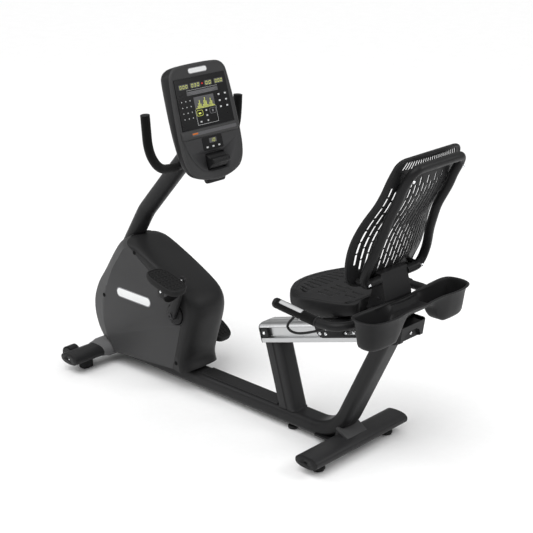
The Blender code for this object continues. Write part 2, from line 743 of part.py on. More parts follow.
def thick_shell(name, points, faces, finish, directions):
    """Open sheet, thickened inward by SHELL and closed round its edge. directions overrides some normals."""
    bm = bmesh.new()
    outside = [bm.verts.new(p) for p in points]
    for face in faces:
        bm.faces.new([outside[i] for i in face])
    bmesh.ops.recalc_face_normals(bm, faces=bm.faces)
    bm.normal_update()
    places = [v.co - v.normal * SHELL * v.calc_shell_factor() for v in outside]
    for index, direction in directions.items():
        places[index] = outside[index].co - direction * SHELL
    partner = {vert: bm.verts.new(place) for vert, place in zip(outside, places)}
    for face in list(bm.faces):
        bm.faces.new([partner[vert] for vert in face.verts][::-1])
    for edge in list(bm.edges):
        if edge.is_boundary and edge.verts[0] in partner:
            a, b = edge.verts
            bm.faces.new((a, b, partner[b], partner[a]))
    return publish(name, bm, finish, sharp=30.0)


def grid_faces(rows):
    faces = []
    for low, high in zip(rows, rows[1:]):
        for i in range(len(low) - 1):
            faces.append((low[i], low[i + 1], high[i + 1], high[i]))
    return faces


def casing_sheet(spans, indices):
    """Shared points and their rows for part of the casing. spans lists (side, level) pairs."""
    points = []
    rows = []
    for side, level in spans:
        row = []
        for index in indices:
            x, y, z = casing_point(index, level)
            row.append(len(points))
            points.append(Vector((x, side * max(y, 0.0004), z)))
        rows.append(row)
    return points, rows


def add_cheek(points, side, shift):
    """Adds the seam of the flat cheek to the points and returns their indices."""
    first = len(points)
    for x, z in SEAM[1:]:
        points.append(Vector((x + shift, side * CASING_HALF, z + shift)))
    return list(range(first, len(points)))


def mirrored(vector, side):
    return Vector((vector.x, side * vector.y, vector.z))


def collar_ring(y, grow):
    outline = oval(STAB_WIDTH / 2 + grow, STAB_HEIGHT / 2 + grow, 2.5, 28)
    return [Vector((FRONT_STAB_X + a, y, FRONT_STAB_Z + b)) for a, b in outline]


def front_collar():
    """Flared cuff round the front stabiliser where it leaves the casing, open at the back for the base."""
    outside = [(-0.131, 0.0025), (-0.112, 0.0055), (-0.098, 0.0105), (0.098, 0.0105), (0.112, 0.0055)]
    outside.append((0.131, 0.0025))
    rings = [collar_ring(y, grow) for y, grow in outside]
    rings += [collar_ring(y, GAP) for y in (0.131, -0.131)]
    made = publish("front_collar", loft(rings, cyclic=True), "collar_plastic")
    low = BASE_Z - BASE_HEIGHT / 2 - 0.02
    opening = [(FRONT_STAB_X + 0.010, low), (-0.6, low), (-0.6, 0.15), (FRONT_STAB_X + 0.010, 0.15)]
    cut(made, prism(opening, -0.060, 0.060), "collar_opening")


def seam_normal(level):
    """Outward direction shared by the two edges of the joint between a side cover and the spine."""
    low = Vector(casing_point(SEAM_START, max(0.0, level - 0.1)))
    high = Vector(casing_point(SEAM_START, min(1.0, level + 0.1)))
    along = Vector(casing_point(SEAM_START + 1, level)) - Vector(casing_point(SEAM_START - 1, level))
    found = along.cross(high - low).normalized()
    return found if found.z > 0 else -found


def casing():
    tools = [helper("crank_opening", moved(prism(circle(0.0445, 32), -0.15, 0.15), (CRANK.x, 0, CRANK.z)))]
    tools.append(helper("mast_opening", mast_room()))
    tools.append(helper("collar_room", loft([collar_ring(y, 0.0109) for y in (-0.15, 0.15)])))
    levels = [step / CASING_LEVELS for step in range(CASING_LEVELS + 1)]
    for side, word in ((-1, "left"), (1, "right")):
        points, rows = casing_sheet([(side, level) for level in levels], range(SEAM_START + 1))
        faces = grid_faces(rows)
        faces.append(tuple(rows[0] + add_cheek(points, side, -0.0004)))
        turned = {row[-1]: mirrored(seam_normal(level), side) for row, level in zip(rows, levels)}
        cover = thick_shell(f"{word}_side_cover", points, faces, "cover_plastic", turned)
        for tool in tools:
            combine(cover, tool, "DIFFERENCE")
    spans = [(-1, level) for level in levels[:-1]] + [(1, level) for level in levels[::-1]]
    points, rows = casing_sheet(spans, range(SEAM_START, len(CASING_CHEEK)))
    for row in rows:
        points[row[0]].x += 0.0006
    faces = grid_faces(rows)
    for side, row in ((-1, rows[0]), (1, rows[-1])):
        faces.append(tuple(row + add_cheek(points, side, 0.0004)[::-1]))
    turned = {row[0]: mirrored(seam_normal(level), side) for row, (side, level) in zip(rows, spans)}
    spine = thick_shell("spine_cover", points, faces, "spine_plastic", turned)
    for tool in tools[:2]:
        combine(spine, tool, "DIFFERENCE")


# --- console and handlebar --------------------------------------------------------------------

FACE = Vector((math.cos(CONSOLE_TILT), 0.0, math.sin(CONSOLE_TILT)))
FACE_UP = Vector((-math.sin(CONSOLE_TILT), 0.0, math.cos(CONSOLE_TILT)))
CONSOLE_HALF = [
    (0.000, 0.1426), (0.074, 0.1410), (0.112, 0.1350), (0.134, 0.1180), (0.143, 0.0900), (0.1510, 0.0000),
    (0.155, -0.0900), (0.1540, -0.1500), (0.150, -0.1950), (0.138, -0.2340), (0.112, -0.2640),
    (0.060, -0.2830), (0.000, -0.2900),
]
SCREEN_WIDTH = 0.254
SCREEN_HEIGHT = 0.183


def hollow(outside, inside):
    """Shell from its rim round the outside to a floor, then back over the inside."""
    bm = bmesh.new()
    rows = [[bm.verts.new(p) for p in ring] for ring in outside + inside]
    count = len(rows[0])
    split = len(outside)
    pairs = list(zip(rows[:split], rows[1:split])) + list(zip(rows[split:], rows[split + 1 :]))
    pairs.append((rows[-1], rows[0]))
    for low, high in pairs:
        for i in range(count):
            j = (i + 1) % count
            bm.faces.new((low[i], low[j], high[j], high[i]))
    bm.faces.new(rows[split - 1])
    bm.faces.new(rows[split])
    return bm


def on_face(y, up, out):
    return CONSOLE_CENTRE + Vector((0, y, 0)) + FACE_UP * up + FACE * out


def console_outline():
    return CONSOLE_HALF + [(-y, up) for y, up in CONSOLE_HALF[-2:0:-1]]


def face_rings(outline, steps):
    """Rings over the console's face plane. Each step is (inset, height out of the face)."""
    rings = []
    for inset, out in steps:
        shape = shrink(outline, inset) if inset else outline
        rings.append([on_face(y, up, out) for y, up in shape])
    return rings


def tub_rings(outline, steps, thickness):
    """Rings of the housing, whose depth grows towards its top. Each step is (inset, share of the depth)."""
    rings = []
    for inset, share in steps:
        ring = []
        for y, up in shrink(outline, inset):
            depth = (CONSOLE_DEPTH + 0.085 * up - thickness) * share
            ring.append(on_face(y, up, -max(depth, GAP)))
        rings.append(ring)
    return rings


def console_nub():
    """Socket block under the housing's lower edge."""
    rings = []
    for up, half in ((-0.272, 0.048), (-0.295, 0.045), (-0.300, 0.041)):
        shape = [(-half, -0.028), (half, -0.028), (half, -0.006), (-half, -0.006)]
        rings.append([on_face(y, up, out) for y, out in shape])
    return loft(rings)


def console():
    """Housing shell, front bezel and the clear display cover."""
    outline = console_outline()
    outside = [(0.0, 0.0), (0.0005, 0.35), (0.006, 0.78), (0.026, 1.0)]
    inside = [(0.029, 1.0), (0.0095, 0.78), (0.0035, 0.35), (0.003, 0.0)]
    tub = unite(
        "console_housing",
        [hollow(tub_rings(outline, outside, 0.0), tub_rings(outline, inside, SHELL)), console_nub()],
        "black_plastic",
    )
    cut(tub, mast_room(), "mast_hole")
    bezel = [(0.0005, 0.0), (0.0, 0.004), (0.004, 0.0085), (0.010, 0.010)]
    face = publish("console_bezel", loft(face_rings(outline, bezel)), "cover_plastic")
    screen = rounded_rect(SCREEN_WIDTH, SCREEN_HEIGHT, 0.008, 3)
    pocket = [[on_face(y, up, out) for y, up in shrink(screen, -0.0004)] for out in (0.0066, 0.03)]
    cut(face, loft(pocket), "screen_pocket")
    window = [[on_face(y, up, out) for y, up in shrink(screen, 0.006)] for out in (-0.02, 0.03)]
    cut(face, loft(window), "screen_window")
    slot = rounded_rect(0.096, 0.066, 0.006, 2)
    well = [[on_face(y, up - PADDLE_DROP, out) for y, up in slot] for out in (-0.02, 0.03)]
    cut(face, loft(well), "paddle_well")
    lens = face_rings(screen, [(0.0, 0.0069), (0.0, 0.0092), (0.0005, 0.0097)])
    publish("display_lens", loft(lens), "screen")


def paddle():
    """Barrel with a flat lip, rocked up and down to set the resistance."""
    centre = on_face(0.0, -PADDLE_DROP, 0.002)
    shape = []
    for step in range(19):
        angle = math.radians(28 + (332 - 28) * step / 18)
        shape.append((PADDLE_RADIUS * math.cos(angle), PADDLE_RADIUS * math.sin(angle)))
    shape += [(0.0430, -0.0085), (0.0455, -0.0060), (0.0455, 0.0040), (0.0425, 0.0075)]
    rings = []
    for y, scale in ((-0.0440, 0.86), (-0.0410, 1.0), (0.0410, 1.0), (0.0440, 0.86)):
        rings.append([centre + Vector((0, y, 0)) + (FACE * a + FACE_UP * b) * scale for a, b in shape])
    publish("resistance_paddle", loft(rings), "black_plastic", centre)


def bar_half():
    """Centre line of the handlebar's right half, from the mast out and up to its tip."""
    points = [(-0.314, 0.0, 0.9025), (-0.314, 0.045, 0.9025), (-0.305, 0.090, 0.9085)]
    points.append((-0.291, 0.136, 0.9205))
    points += [(-0.277, 0.177, 0.9475), (-0.268, 0.209, 0.9880), (-0.264, 0.2260, 1.0330)]
    points += [(BAR_X, 0.2325, 1.0825), (BAR_X, 0.2370, 1.1440)]
    return v2(points)


def handlebar():
    """U-shaped bar through the mast, with a foam sleeve over each side."""
    half = bar_half()
    left = [Vector((p.x, -p.y, p.z)) for p in half]
    upright = Vector((0, 0, 1))
    tube = pipe(half[::-1] + left[1:], circle(BAR_CORE, 12), circle(BAR_CORE - 0.002, 12), upright)
    publish("handlebar", tube, "frame_paint")
    for side, word in ((-1, "left"), (1, "right")):
        along = [Vector((p.x, side * p.y, p.z)) for p in half[1:]]
        tip = (along[-1] - along[-2]).normalized()
        sleeve = placed_rings(along[:-1] + [along[-1] + tip * 0.003], circle(BAR_RADIUS, 16), upright)
        bore = placed_rings(along[:-1] + [along[-1] + tip * GAP], circle(BAR_CORE + 0.0006, 16), upright)
        publish(f"{word}_bar_grip", hollow(sleeve, bore[::-1]), "foam")


# --- seat ------------------------------------------------------------------------------------


def carriage():
    """Folded channel that straddles the rail on four rollers."""
    low = 0.0175
    outer = PLATE_INNER + PLATE
    top = BRIDGE + PLATE
    half = [(outer, low), (outer, top - 0.004), (outer - 0.004, top)]
    inner = [(PLATE_INNER, BRIDGE), (PLATE_INNER, low)]
    outline = half + [(-a, b) for a, b in half[::-1]] + [(-a, b) for a, b in inner[::-1]] + inner
    made = publish("seat_carriage", rail_prism(outline, CARRIAGE_FRONT, CARRIAGE_REAR), "frame_paint")
    for end, station in zip(("front", "rear"), ROLLER_STATIONS):
        hub = on_rail(station, 0, ROLLER_HEIGHT)
        cut(made, moved(prism(circle(0.0044, 12), -0.08, 0.08), hub), f"{end}_axle_hole")
        for side, word in ((-1, "left"), (1, "right")):
            centre = hub + ACROSS * (side * 0.0495)
            profile = [(ROLLER_RADIUS - 0.0015, -0.0065), (ROLLER_RADIUS, -0.0050), (ROLLER_RADIUS, 0.0050)]
            profile += [(ROLLER_RADIUS - 0.0015, 0.0065), (0.0070, 0.0070), (0.0041, 0.0102)]
            profile += [(0.0041, 0.0153), (0.0075, 0.0153), (0.0075, 0.0180), (0.0060, 0.0190)]
            shape = [(radius, side * height) for radius, height in profile]
            publish(f"{end}_{word}_roller", lathe(shape, centre, "y", 20), "steel", centre)
    pin = pin_rings(((-0.010, 0.0061), (0.020, 0.0061)))
    cut(made, loft(pin), "lock_hole")


def seat_post():
    """Open box between the sloping carriage and the level pan, with an ear out to the lever's pivot."""
    outline = rounded_rect(0.174, 0.104, 0.012, 2)
    floor = BRIDGE + PLATE + GAP
    skins = []
    for inset in (0.0, SHELL):
        top = [Vector((0.511 + a, b, POST_TOP)) for a, b in shrink(outline, inset)]
        skins.append([meet_rail(top, Vector((0, 0, -1)), floor), top])
    box = loft(skins[0] + skins[1][::-1], cyclic=True)
    ear = [(0.574, 0.5560), (0.612, 0.5560), (0.612, 0.5700), (0.574, 0.5700)]
    unite("seat_post", [box, prism(ear, LEVER_Y + 0.0083, -0.0500)], "frame_paint")


PAN_OUTLINE = [
    (0.316, 0.000), (0.322, 0.042), (0.334, 0.078), (0.352, 0.110), (0.376, 0.148), (0.402, 0.176),
    (0.440, 0.191), (0.490, 0.194), (0.540, 0.188), (0.590, 0.172), (0.630, 0.150), (0.6425, 0.134),
    (0.640, 0.112), (0.628, 0.085), (0.624, 0.045), (0.624, 0.000),
]


def pan_height(x, y):
    """Top surface: dished across, rising to the back, rolled down at the front and its corners."""
    rise = 0.06 * (x - 0.50)
    nose = -0.4 * max(0.0, 0.39 - x) ** 1.6
    wing = 0.020 * (abs(y) / 0.18) ** 2
    edge = -0.020 * max(0.0, (abs(y) - 0.15) / 0.045) * smooth_step(x, 0.52, 0.38)
    return PAN_TOP - 0.014 + rise + nose + wing + edge


def seat_pan():
    """Dished shell with a flat seat on the post, a rolled front edge and tucked-in walls."""
    right = PAN_OUTLINE
    outline = [(x, y) for x, y in right] + [(x, -y) for x, y in right[-2:0:-1]]
    base = PAN_TOP - 0.072
    middle = Vector((0.49, 0.0))

    def ring(scale, drop, level=None):
        found = []
        for x, y in outline:
            p = middle + (Vector((x, y)) - middle) * scale
            surface = pan_height(p.x, p.y) - drop
            found.append(Vector((p.x, p.y, surface if level is None else level)))
        return found

    def wall(scale):
        return [Vector((p.x, p.y, base + 0.24 * max(0.0, p.x - 0.54))) for p in ring(scale, 0.0)]

    outer = [wall(0.93), ring(1.0, 0.034), ring(1.01, 0.014), ring(0.990, 0.001), ring(0.93, 0.0)]
    outer += [ring(0.60, 0.0), ring(0.20, 0.0)]
    seat = POST_TOP + GAP
    inner = [ring(0.50, 0.0, seat), ring(0.80, 0.0, seat), ring(0.975, 0.014), ring(0.975, 0.034)]
    inner.append(wall(0.905))
    publish("seat_pan", hollow(outer, inner), "seat_plastic")


def handles():
    """One bent tube under the bucket, with a grip at each end."""
    half = [HANDLE_CROSS] + v2([(0.6790, 0.100, 0.5895), (0.6860, 0.160, 0.5905), (0.6840, 0.198, 0.5905)])
    half += v2([(0.6670, 0.228, 0.5890), (0.6380, 0.2460, 0.5865), (0.5950, HANDLE_Y, 0.5850)])
    half.append(Vector((0.5750, HANDLE_Y, 0.5866)))
    left = [Vector((p.x, -p.y, p.z)) for p in half]
    outer = circle(HANDLE_RADIUS, 16)
    inner = circle(HANDLE_RADIUS - 0.002, 16)
    publish("seat_handles", pipe(left[::-1] + half[1:], outer, inner, Vector((0, 0, 1))), "frame_paint")
    for side, word in ((-1, "left"), (1, "right")):
        start = Vector((0.5744, side * HANDLE_Y, 0.5866))
        down = (Vector((0.3835, side * HANDLE_Y, 0.6060)) - start).normalized()
        shapes = ((0.0005, 0.0165), (0.003, 0.0178), (0.184, 0.0178), (0.190, 0.0150), (0.192, 0.009))
        rings = []
        for along, radius in shapes:
            path = [start + down * along, start + down * (along + 0.001)]
            rings.append(placed_rings(path, circle(radius, 18), ACROSS)[0])
        publish(f"{word}_seat_grip", loft(rings), "foam")


def lever():
    """Bail under the left grip, squeezed upward to free the seat."""
    points = [(0.600, 0.563), (0.560, 0.5430), (0.510, 0.5210), (0.470, 0.5080), (0.440, 0.507)]
    points += [(0.424, 0.517), (0.428, 0.533), (0.447, 0.556), (0.463, 0.575)]
    line = curve_through([Vector((x, LEVER_Y, z)) for x, z in points], 2)
    barrel = lathe([(0.008, -0.008), (0.008, 0.008)], LEVER_PIVOT, "y", 16)
    unite("seat_lever", [rod(line, circle(0.0045, 10), ACROSS), barrel], "black_plastic", LEVER_PIVOT)


def pin_rings(profile):
    """Round section square to the rail, at heights over its crown."""
    base = on_rail(PIN_STATION, 0.0, RAIL_TOP)
    rings = []
    for height, radius in profile:
        rings.append([base + RAIL_UP * height + RAIL_ALONG * a + ACROSS * b for a, b in circle(radius, 16)])
    return rings


def lock_pad():
    """Plunger through the carriage that grips the rail until the lever lifts it."""
    profile = ((0.0005, 0.0090), (0.0045, 0.0095), (0.0050, 0.0056), (0.0200, 0.0056), (0.0205, 0.0095))
    base = on_rail(PIN_STATION, 0.0, RAIL_TOP)
    publish("lock_plunger", loft(pin_rings(profile + ((0.0250, 0.0095),))), "steel", base)


def back_block():
    """Bracket that stands on the carriage and holds the backrest tube."""
    outline = [(0.6400, 0.6038), (0.7180, 0.6300), (0.7200, 0.6450), (0.6950, 0.7360)]
    outline += [(0.6720, 0.7360), (0.6570, 0.6600)]
    lug = [(0.6945, 0.6450), (0.6945, 0.5400), (0.7100, 0.5400), (0.7100, 0.6450)]
    foot = prism(lug, -0.030, 0.030)
    made = unite("back_block", [prism(outline, -BLOCK_HALF, BLOCK_HALF), foot], "frame_paint", sharp=25.0)
    room = shrink(outline, 0.004)
    room = [(x, z - 0.020) for x, z in room[:2]] + room[2:]
    cut(made, prism(room, 0.004 - BLOCK_HALF, -0.0335), "left_hollow")
    cut(made, prism(room, 0.0335, BLOCK_HALF - 0.004), "right_hollow")
    under = [(-0.1, BRIDGE + PLATE + GAP), (0.1, BRIDGE + PLATE + GAP), (0.1, 0.02), (-0.1, 0.02)]
    cut(made, rail_prism(under, 0.45, 0.75), "carriage_room")


BACK_TUBE = [
    (0.696, 0.1570, 0.742), (0.705, 0.1580, 0.768), (0.715, 0.1540, 0.797), (0.734, 0.1390, 0.856),
    (0.752, 0.1320, 0.907), (0.768, 0.1310, 0.952), (0.803, 0.1340, 1.020), (0.822, 0.1350, 1.065),
    (0.847, 0.1310, 1.110), (0.859, 0.1160, 1.130), (0.8620, 0.0900, 1.1345), (0.8620, 0.000, 1.1345),
]


def backrest_tube():
    """Loop up one side, over the top and down the other, turned in at the bottom to meet the block."""
    foot = [(0.690, BLOCK_HALF + GAP, 0.713), (0.690, 0.100, 0.713), (0.6905, 0.130, 0.7145)]
    right = v2(foot + [(0.6915, 0.147, 0.724)] + BACK_TUBE)
    left = [Vector((p.x, -p.y, p.z)) for p in right]
    outer = circle(TUBE_RADIUS, 14)
    inner = circle(TUBE_RADIUS - 0.002, 14)
    line = left + right[-2::-1]
    publish("backrest_tube", pipe(line, outer, inner, Vector((1, 0, 0))), "frame_paint")


# Backrest shell, bottom to top: edge point seen from the side, half-width, depth of the dish
SHELL_LINE = [
    (0.6550, 0.7010, 0.125, 0.000), (0.6420, 0.7080, 0.158, 0.010), (0.6400, 0.7300, 0.179, 0.022),
    (0.6500, 0.7700, 0.196, 0.032), (0.6610, 0.8200, 0.203, 0.038), (0.6740, 0.8700, 0.199, 0.042),
    (0.6950, 0.9200, 0.190, 0.043), (0.7220, 0.9650, 0.184, 0.042), (0.7500, 1.0050, 0.181, 0.038),
    (0.7760, 1.0500, 0.181, 0.034), (0.7960, 1.0950, 0.179, 0.026), (0.8110, 1.1300, 0.172, 0.018),
    (0.8220, 1.1560, 0.155, 0.006),
]
SHELL_COLUMNS = 12
LUGS = [((0.6755, 0.8000), (0.6950, 0.8000), 0.1500), ((0.8122, 1.0974), (0.8180, 1.0943), 0.1300)]


def backrest_shell():
    """Concave moulded back with four lugs that reach the tube."""
    sheets = []
    for offset in (0.0, 0.0035):
        sheet = []
        for row, (x, z, half, dish) in enumerate(SHELL_LINE):
            before = SHELL_LINE[max(row - 1, 0)]
            after = SHELL_LINE[min(row + 1, len(SHELL_LINE) - 1)]
            rise = Vector((after[0] - before[0], 0, after[1] - before[1])).normalized()
            back = Vector((rise.z, 0, -rise.x))
            line = []
            for column in range(SHELL_COLUMNS + 1):
                u = 2 * column / SHELL_COLUMNS - 1
                line.append(Vector((x, u * half, z)) + back * (dish * (1 - abs(u) ** 2.2) + offset))
            sheet.append(line)
        sheets.append(sheet)
    parts = [loft([front + rear[::-1] for front, rear in zip(*sheets)])]
    for start, end, y in LUGS:
        for side in (-1, 1):
            path = [Vector((x, side * y, z)) for x, z in (start, end)]
            parts.append(rod(path, circle(0.007, 12), ACROSS))
    unite("backrest_shell", parts, "seat_plastic")


def smooth_step(value, low, high):
    t = min(1.0, max(0.0, (value - low) / (high - low)))
    return t * t * (3 - 2 * t)


def bucket_section(y):
    """Tray section at one width: deck, front lip, floor and rear lip, as (x, z) pairs."""
    d = abs(y)
    end = smooth_step(d, 0.215, BUCKET_HALF)
    cup = smooth_step(d, 0.095, 0.140)
    rim = 0.6480 - 0.006 * (1 - smooth_step(d, 0.0, 0.10))
    front = 0.7350 + 0.010 * cup + 0.030 * end**2
    rear = 0.8230 + 0.010 * cup - 0.040 * end**2
    floor = 0.6150 - 0.073 * cup + 0.107 * smooth_step(d, 0.218, 0.262)
    floor = min(floor, rim - 0.004)
    deck = 0.6575 + (front - 0.022 - 0.6575) * smooth_step(d, 0.075, 0.150)
    taper = 0.006 + 0.006 * cup
    line = [(deck, min(deck_height(deck), rim)), (front - 0.012, deck_height(front - 0.012))]
    line += [(front, rim), (front + taper, floor + 0.010), (front + taper + 0.008, floor)]
    line += [(rear - taper - 0.010, floor), (rear - taper, floor + 0.012), (rear, rim)]
    return v2(line + [(rear + 0.009, rim + 0.0005)])


def deck_height(x):
    return 0.6035 + 0.336 * (x - 0.640)


def bucket():
    """Moulded tray behind the seat: a cup at each end and a shallow bridge between."""
    thick = 0.0030
    stations = [-0.2755, -0.2710, -0.2620, -0.2510, -0.2400, -0.2280, -0.2150, -0.1900, -0.1600]
    stations += [-0.1400, -0.1280, -0.1150, -0.1030, -0.0900, -0.0600, 0.0]
    stations += [-y for y in stations[-2::-1]]
    rings = []
    for y in stations:
        upper = bucket_section(y)
        lower = []
        for i, point in enumerate(upper):
            behind = point - upper[max(i - 1, 0)]
            ahead = upper[min(i + 1, len(upper) - 1)] - point
            a = (behind if behind.length else ahead).normalized()
            b = (ahead if ahead.length else behind).normalized()
            square = Vector((a.y, -a.x))
            middle = (square + Vector((b.y, -b.x))).normalized()
            lower.append(point + middle * (thick / max(0.5, middle.dot(square))))
        rings.append([Vector((p.x, y, p.y)) for p in upper + lower[::-1]])
    made = publish("bucket_tray", loft(rings), "seat_plastic")
    slot = [(0.692, -0.032), (0.713, -0.032), (0.713, 0.032), (0.692, 0.032)]
    cut(made, prism(slot, 0.59, 0.65, "z"), "lug_slot")


def rear_cover():
    """Cap on the rail's back end. Its wings stand clear of the carriage plates."""
    half = 0.0745
    rear = REAR_COVER_X
    plan = []
    for inset in (0.0, SHELL):
        side = [(0.700, half - inset), (rear - 0.012, half - inset), (rear - inset, half - 0.012)]
        ring = side + [(x, -y) for x, y in side[::-1]]
        plan += ring if inset == 0.0 else ring[::-1]
    rings = []
    for z, lean in ((0.486, 0.0), (0.565, 0.012)):
        rings.append([Vector((x + lean * (x > 0.71), y, z)) for x, y in plan])
    plug = [(0.7525, 0.4960), (0.7330, 0.5620), (rear + 0.0095, 0.5620), (rear - 0.0010, 0.4960)]
    made = unite("rail_rear_cover", [loft(rings), prism(plug, -0.050, 0.050)], "black_plastic")
    arch = [(-0.046, 0.470), (0.046, 0.470), (0.046, 0.518), (0.036, 0.534), (0.018, 0.542)]
    arch += [(-0.018, 0.542), (-0.036, 0.534), (-0.046, 0.518)]
    cut(made, prism(arch, rear - 0.006, rear + 0.05, "x"), "rear_arch")
    slope = [(-0.09, -0.1), (0.09, -0.1), (0.09, -0.006), (-0.09, -0.006)]
    cut(made, rail_prism(slope, 0.50, 0.75), "rail_slope")


def main():
    clear_scene()
    base_frame()
    front_upright()
    step_cover()
    front_stabiliser()
    stabiliser("rear_stabiliser", REAR_STAB_X, REAR_STAB_Z, REAR_STAB_HALF)
    for side, word in ((-1, "left"), (1, "right")):
        end_cap(f"front_{word}_cap", FRONT_STAB_X, FRONT_STAB_Z, FRONT_STAB_HALF, side)
        end_cap(f"rear_{word}_cap", REAR_STAB_X, REAR_STAB_Z, REAR_STAB_HALF, side)
    rear_saddle()
    levelling_feet()
    front_feet()
    transport_wheels()
    mast()
    rail()
    crank_parts()
    pedal(-1, "left")
    pedal(1, "right")
    brake_rotor()
    belt()
    drive_frame()
    casing()
    front_collar()
    console()
    paddle()
    handlebar()
    carriage()
    lock_pad()
    rear_cover()
    seat_post()
    seat_pan()
    handles()
    lever()
    back_block()
    backrest_tube()
    backrest_shell()
    bucket()


main()
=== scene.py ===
"""Looks of a recumbent exercise bike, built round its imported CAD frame. Metres, +Z up, +X to the
backrest."""

import json
import math

import bmesh
import bpy
from mathutils import Matrix, Vector


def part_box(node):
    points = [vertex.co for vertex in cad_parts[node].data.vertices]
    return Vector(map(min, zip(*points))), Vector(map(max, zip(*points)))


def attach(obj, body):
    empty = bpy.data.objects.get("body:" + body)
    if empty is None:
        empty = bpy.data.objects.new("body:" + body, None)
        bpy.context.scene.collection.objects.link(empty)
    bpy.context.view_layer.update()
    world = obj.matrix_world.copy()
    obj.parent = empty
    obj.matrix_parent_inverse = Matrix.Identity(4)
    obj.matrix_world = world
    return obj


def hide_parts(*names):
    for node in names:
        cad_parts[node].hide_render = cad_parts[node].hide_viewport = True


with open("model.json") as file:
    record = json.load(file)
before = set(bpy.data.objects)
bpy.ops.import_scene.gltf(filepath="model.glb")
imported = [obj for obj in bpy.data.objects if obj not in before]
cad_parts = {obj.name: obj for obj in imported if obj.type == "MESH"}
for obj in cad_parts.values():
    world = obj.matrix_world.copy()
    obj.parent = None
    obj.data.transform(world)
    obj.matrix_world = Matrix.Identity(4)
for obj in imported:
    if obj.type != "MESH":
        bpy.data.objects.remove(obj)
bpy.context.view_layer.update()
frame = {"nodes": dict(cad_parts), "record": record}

GAP = 0.0003
ACROSS = Vector((0.0, 1.0, 0.0))
UPRIGHT = Vector((0.0, 0.0, 1.0))
SIDES = ((-1, "left"), (1, "right"))


def middle(node):
    low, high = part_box(node)
    return (low + high) / 2


# Shapes below are laid out from the datum of the bike's drawing, which the crank axle places.
CRANK = Vector((-0.28, 0.0, 0.332))
DATUM = Vector((middle("crank_axle").x - CRANK.x, 0.0, 0.0))


# --- materials ---------------------------------------------------------------------------------


def node(tree, kind, **values):
    made = tree.nodes.new(kind)
    for name, value in values.items():
        if name in made.inputs:
            made.inputs[name].default_value = value
        else:
            setattr(made, name, value)
    return made


def ranged(tree, source, low, high, to_low, to_high):
    made = node(tree, "ShaderNodeMapRange")
    for name, value in (("From Min", low), ("From Max", high), ("To Min", to_low),
            ("To Max", to_high)):
        made.inputs[name].default_value = value
    tree.links.new(source, made.inputs["Value"])
    return made.outputs["Result"]


def mixed(tree, blend, factor, first, second):
    made = node(tree, "ShaderNodeMix", data_type="RGBA", blend_type=blend)
    for socket, value in ((made.inputs[0], factor), (made.inputs[6], first),
            (made.inputs[7], second)):
        if isinstance(value, bpy.types.NodeSocket):
            tree.links.new(value, socket)
        else:
            socket.default_value = value
    return made.outputs[2]


GLOSS = 0.16


def surface(name, colour, roughness, metallic=0.0, grain=900.0, depth=0.15, vary=0.12,
        stretch=(1.0, 1.0, 1.0),
            turn=0.0, speck=0.1, wear=0.0, cells=False, coat=0.0, rough_vary=0.06, sheen=0.0):
    """Procedural finish: grain in the bump, slow shifts of tone and roughness, and paler edges
    where worn."""
    made = bpy.data.materials.new(name)
    made.use_nodes = True
    tree = made.node_tree
    shader = tree.nodes["Principled BSDF"]
    shader.inputs["Metallic"].default_value = metallic
    shader.inputs["Specular IOR Level"].default_value = GLOSS
    shader.inputs["Coat Weight"].default_value = coat
    shader.inputs["Coat Roughness"].default_value = 0.12
    shader.inputs["Sheen Weight"].default_value = sheen
    shader.inputs["Sheen Roughness"].default_value = 0.5
    place = node(tree, "ShaderNodeTexCoord").outputs["Object"]
    mapping = node(tree, "ShaderNodeMapping", Scale=stretch, Rotation=(0.0, turn, 0.0))
    tree.links.new(place, mapping.inputs["Vector"])
    if cells:
        fine = node(tree, "ShaderNodeTexVoronoi", Scale=grain)
        height = fine.outputs["Distance"]
    else:
        fine = node(tree, "ShaderNodeTexNoise", Scale=grain, Detail=2.0, Roughness=0.6)
        height = fine.outputs["Fac"]
    broad = node(tree, "ShaderNodeTexNoise", Scale=7.0, Detail=5.0, Roughness=0.62)
    tree.links.new(mapping.outputs["Vector"], fine.inputs["Vector"])
    tree.links.new(place, broad.inputs["Vector"])
    tone = ranged(tree, broad.outputs["Fac"], 0.32, 0.68, 1.0 - vary, 1.0 + vary)
    dots = ranged(tree, height, 0.25, 0.75, 1.0 - speck, 1.0 + speck)
    base = mixed(tree, "MULTIPLY", 1.0, (*colour, 1.0), tone)
    base = mixed(tree, "MULTIPLY", 1.0, base, dots)
    if wear:
        point = node(tree, "ShaderNodeNewGeometry").outputs["Pointiness"]
        edge = ranged(tree, point, 0.515, 0.6, 0.0, wear)
        pale = tuple(min(1.0, 2.4 * c + 0.02) for c in colour)
        base = mixed(tree, "MIX", edge, base, (*pale, 1.0))
    tree.links.new(base, shader.inputs["Base Color"])
    rough = ranged(tree, broad.outputs["Fac"], 0.3, 0.7, roughness - rough_vary,
            roughness + rough_vary)
    tree.links.new(rough, shader.inputs["Roughness"])
    bump = node(tree, "ShaderNodeBump", Strength=depth, Distance=0.0004)
    tree.links.new(height, bump.inputs["Height"])
    tree.links.new(bump.outputs["Normal"], shader.inputs["Normal"])
    return made


def lit(name, colour, strength):
    """Mark with an emission glow and a faint unevenness: lit display segments, and a painted glow
    on printed marks.
    """
    made = surface(name, colour, 0.45, grain=2500.0, depth=0.02, vary=0.06, speck=0.05)
    shader = made.node_tree.nodes["Principled BSDF"]
    shader.inputs["Emission Color"].default_value = (*colour, 1.0)
    shader.inputs["Emission Strength"].default_value = strength
    return made


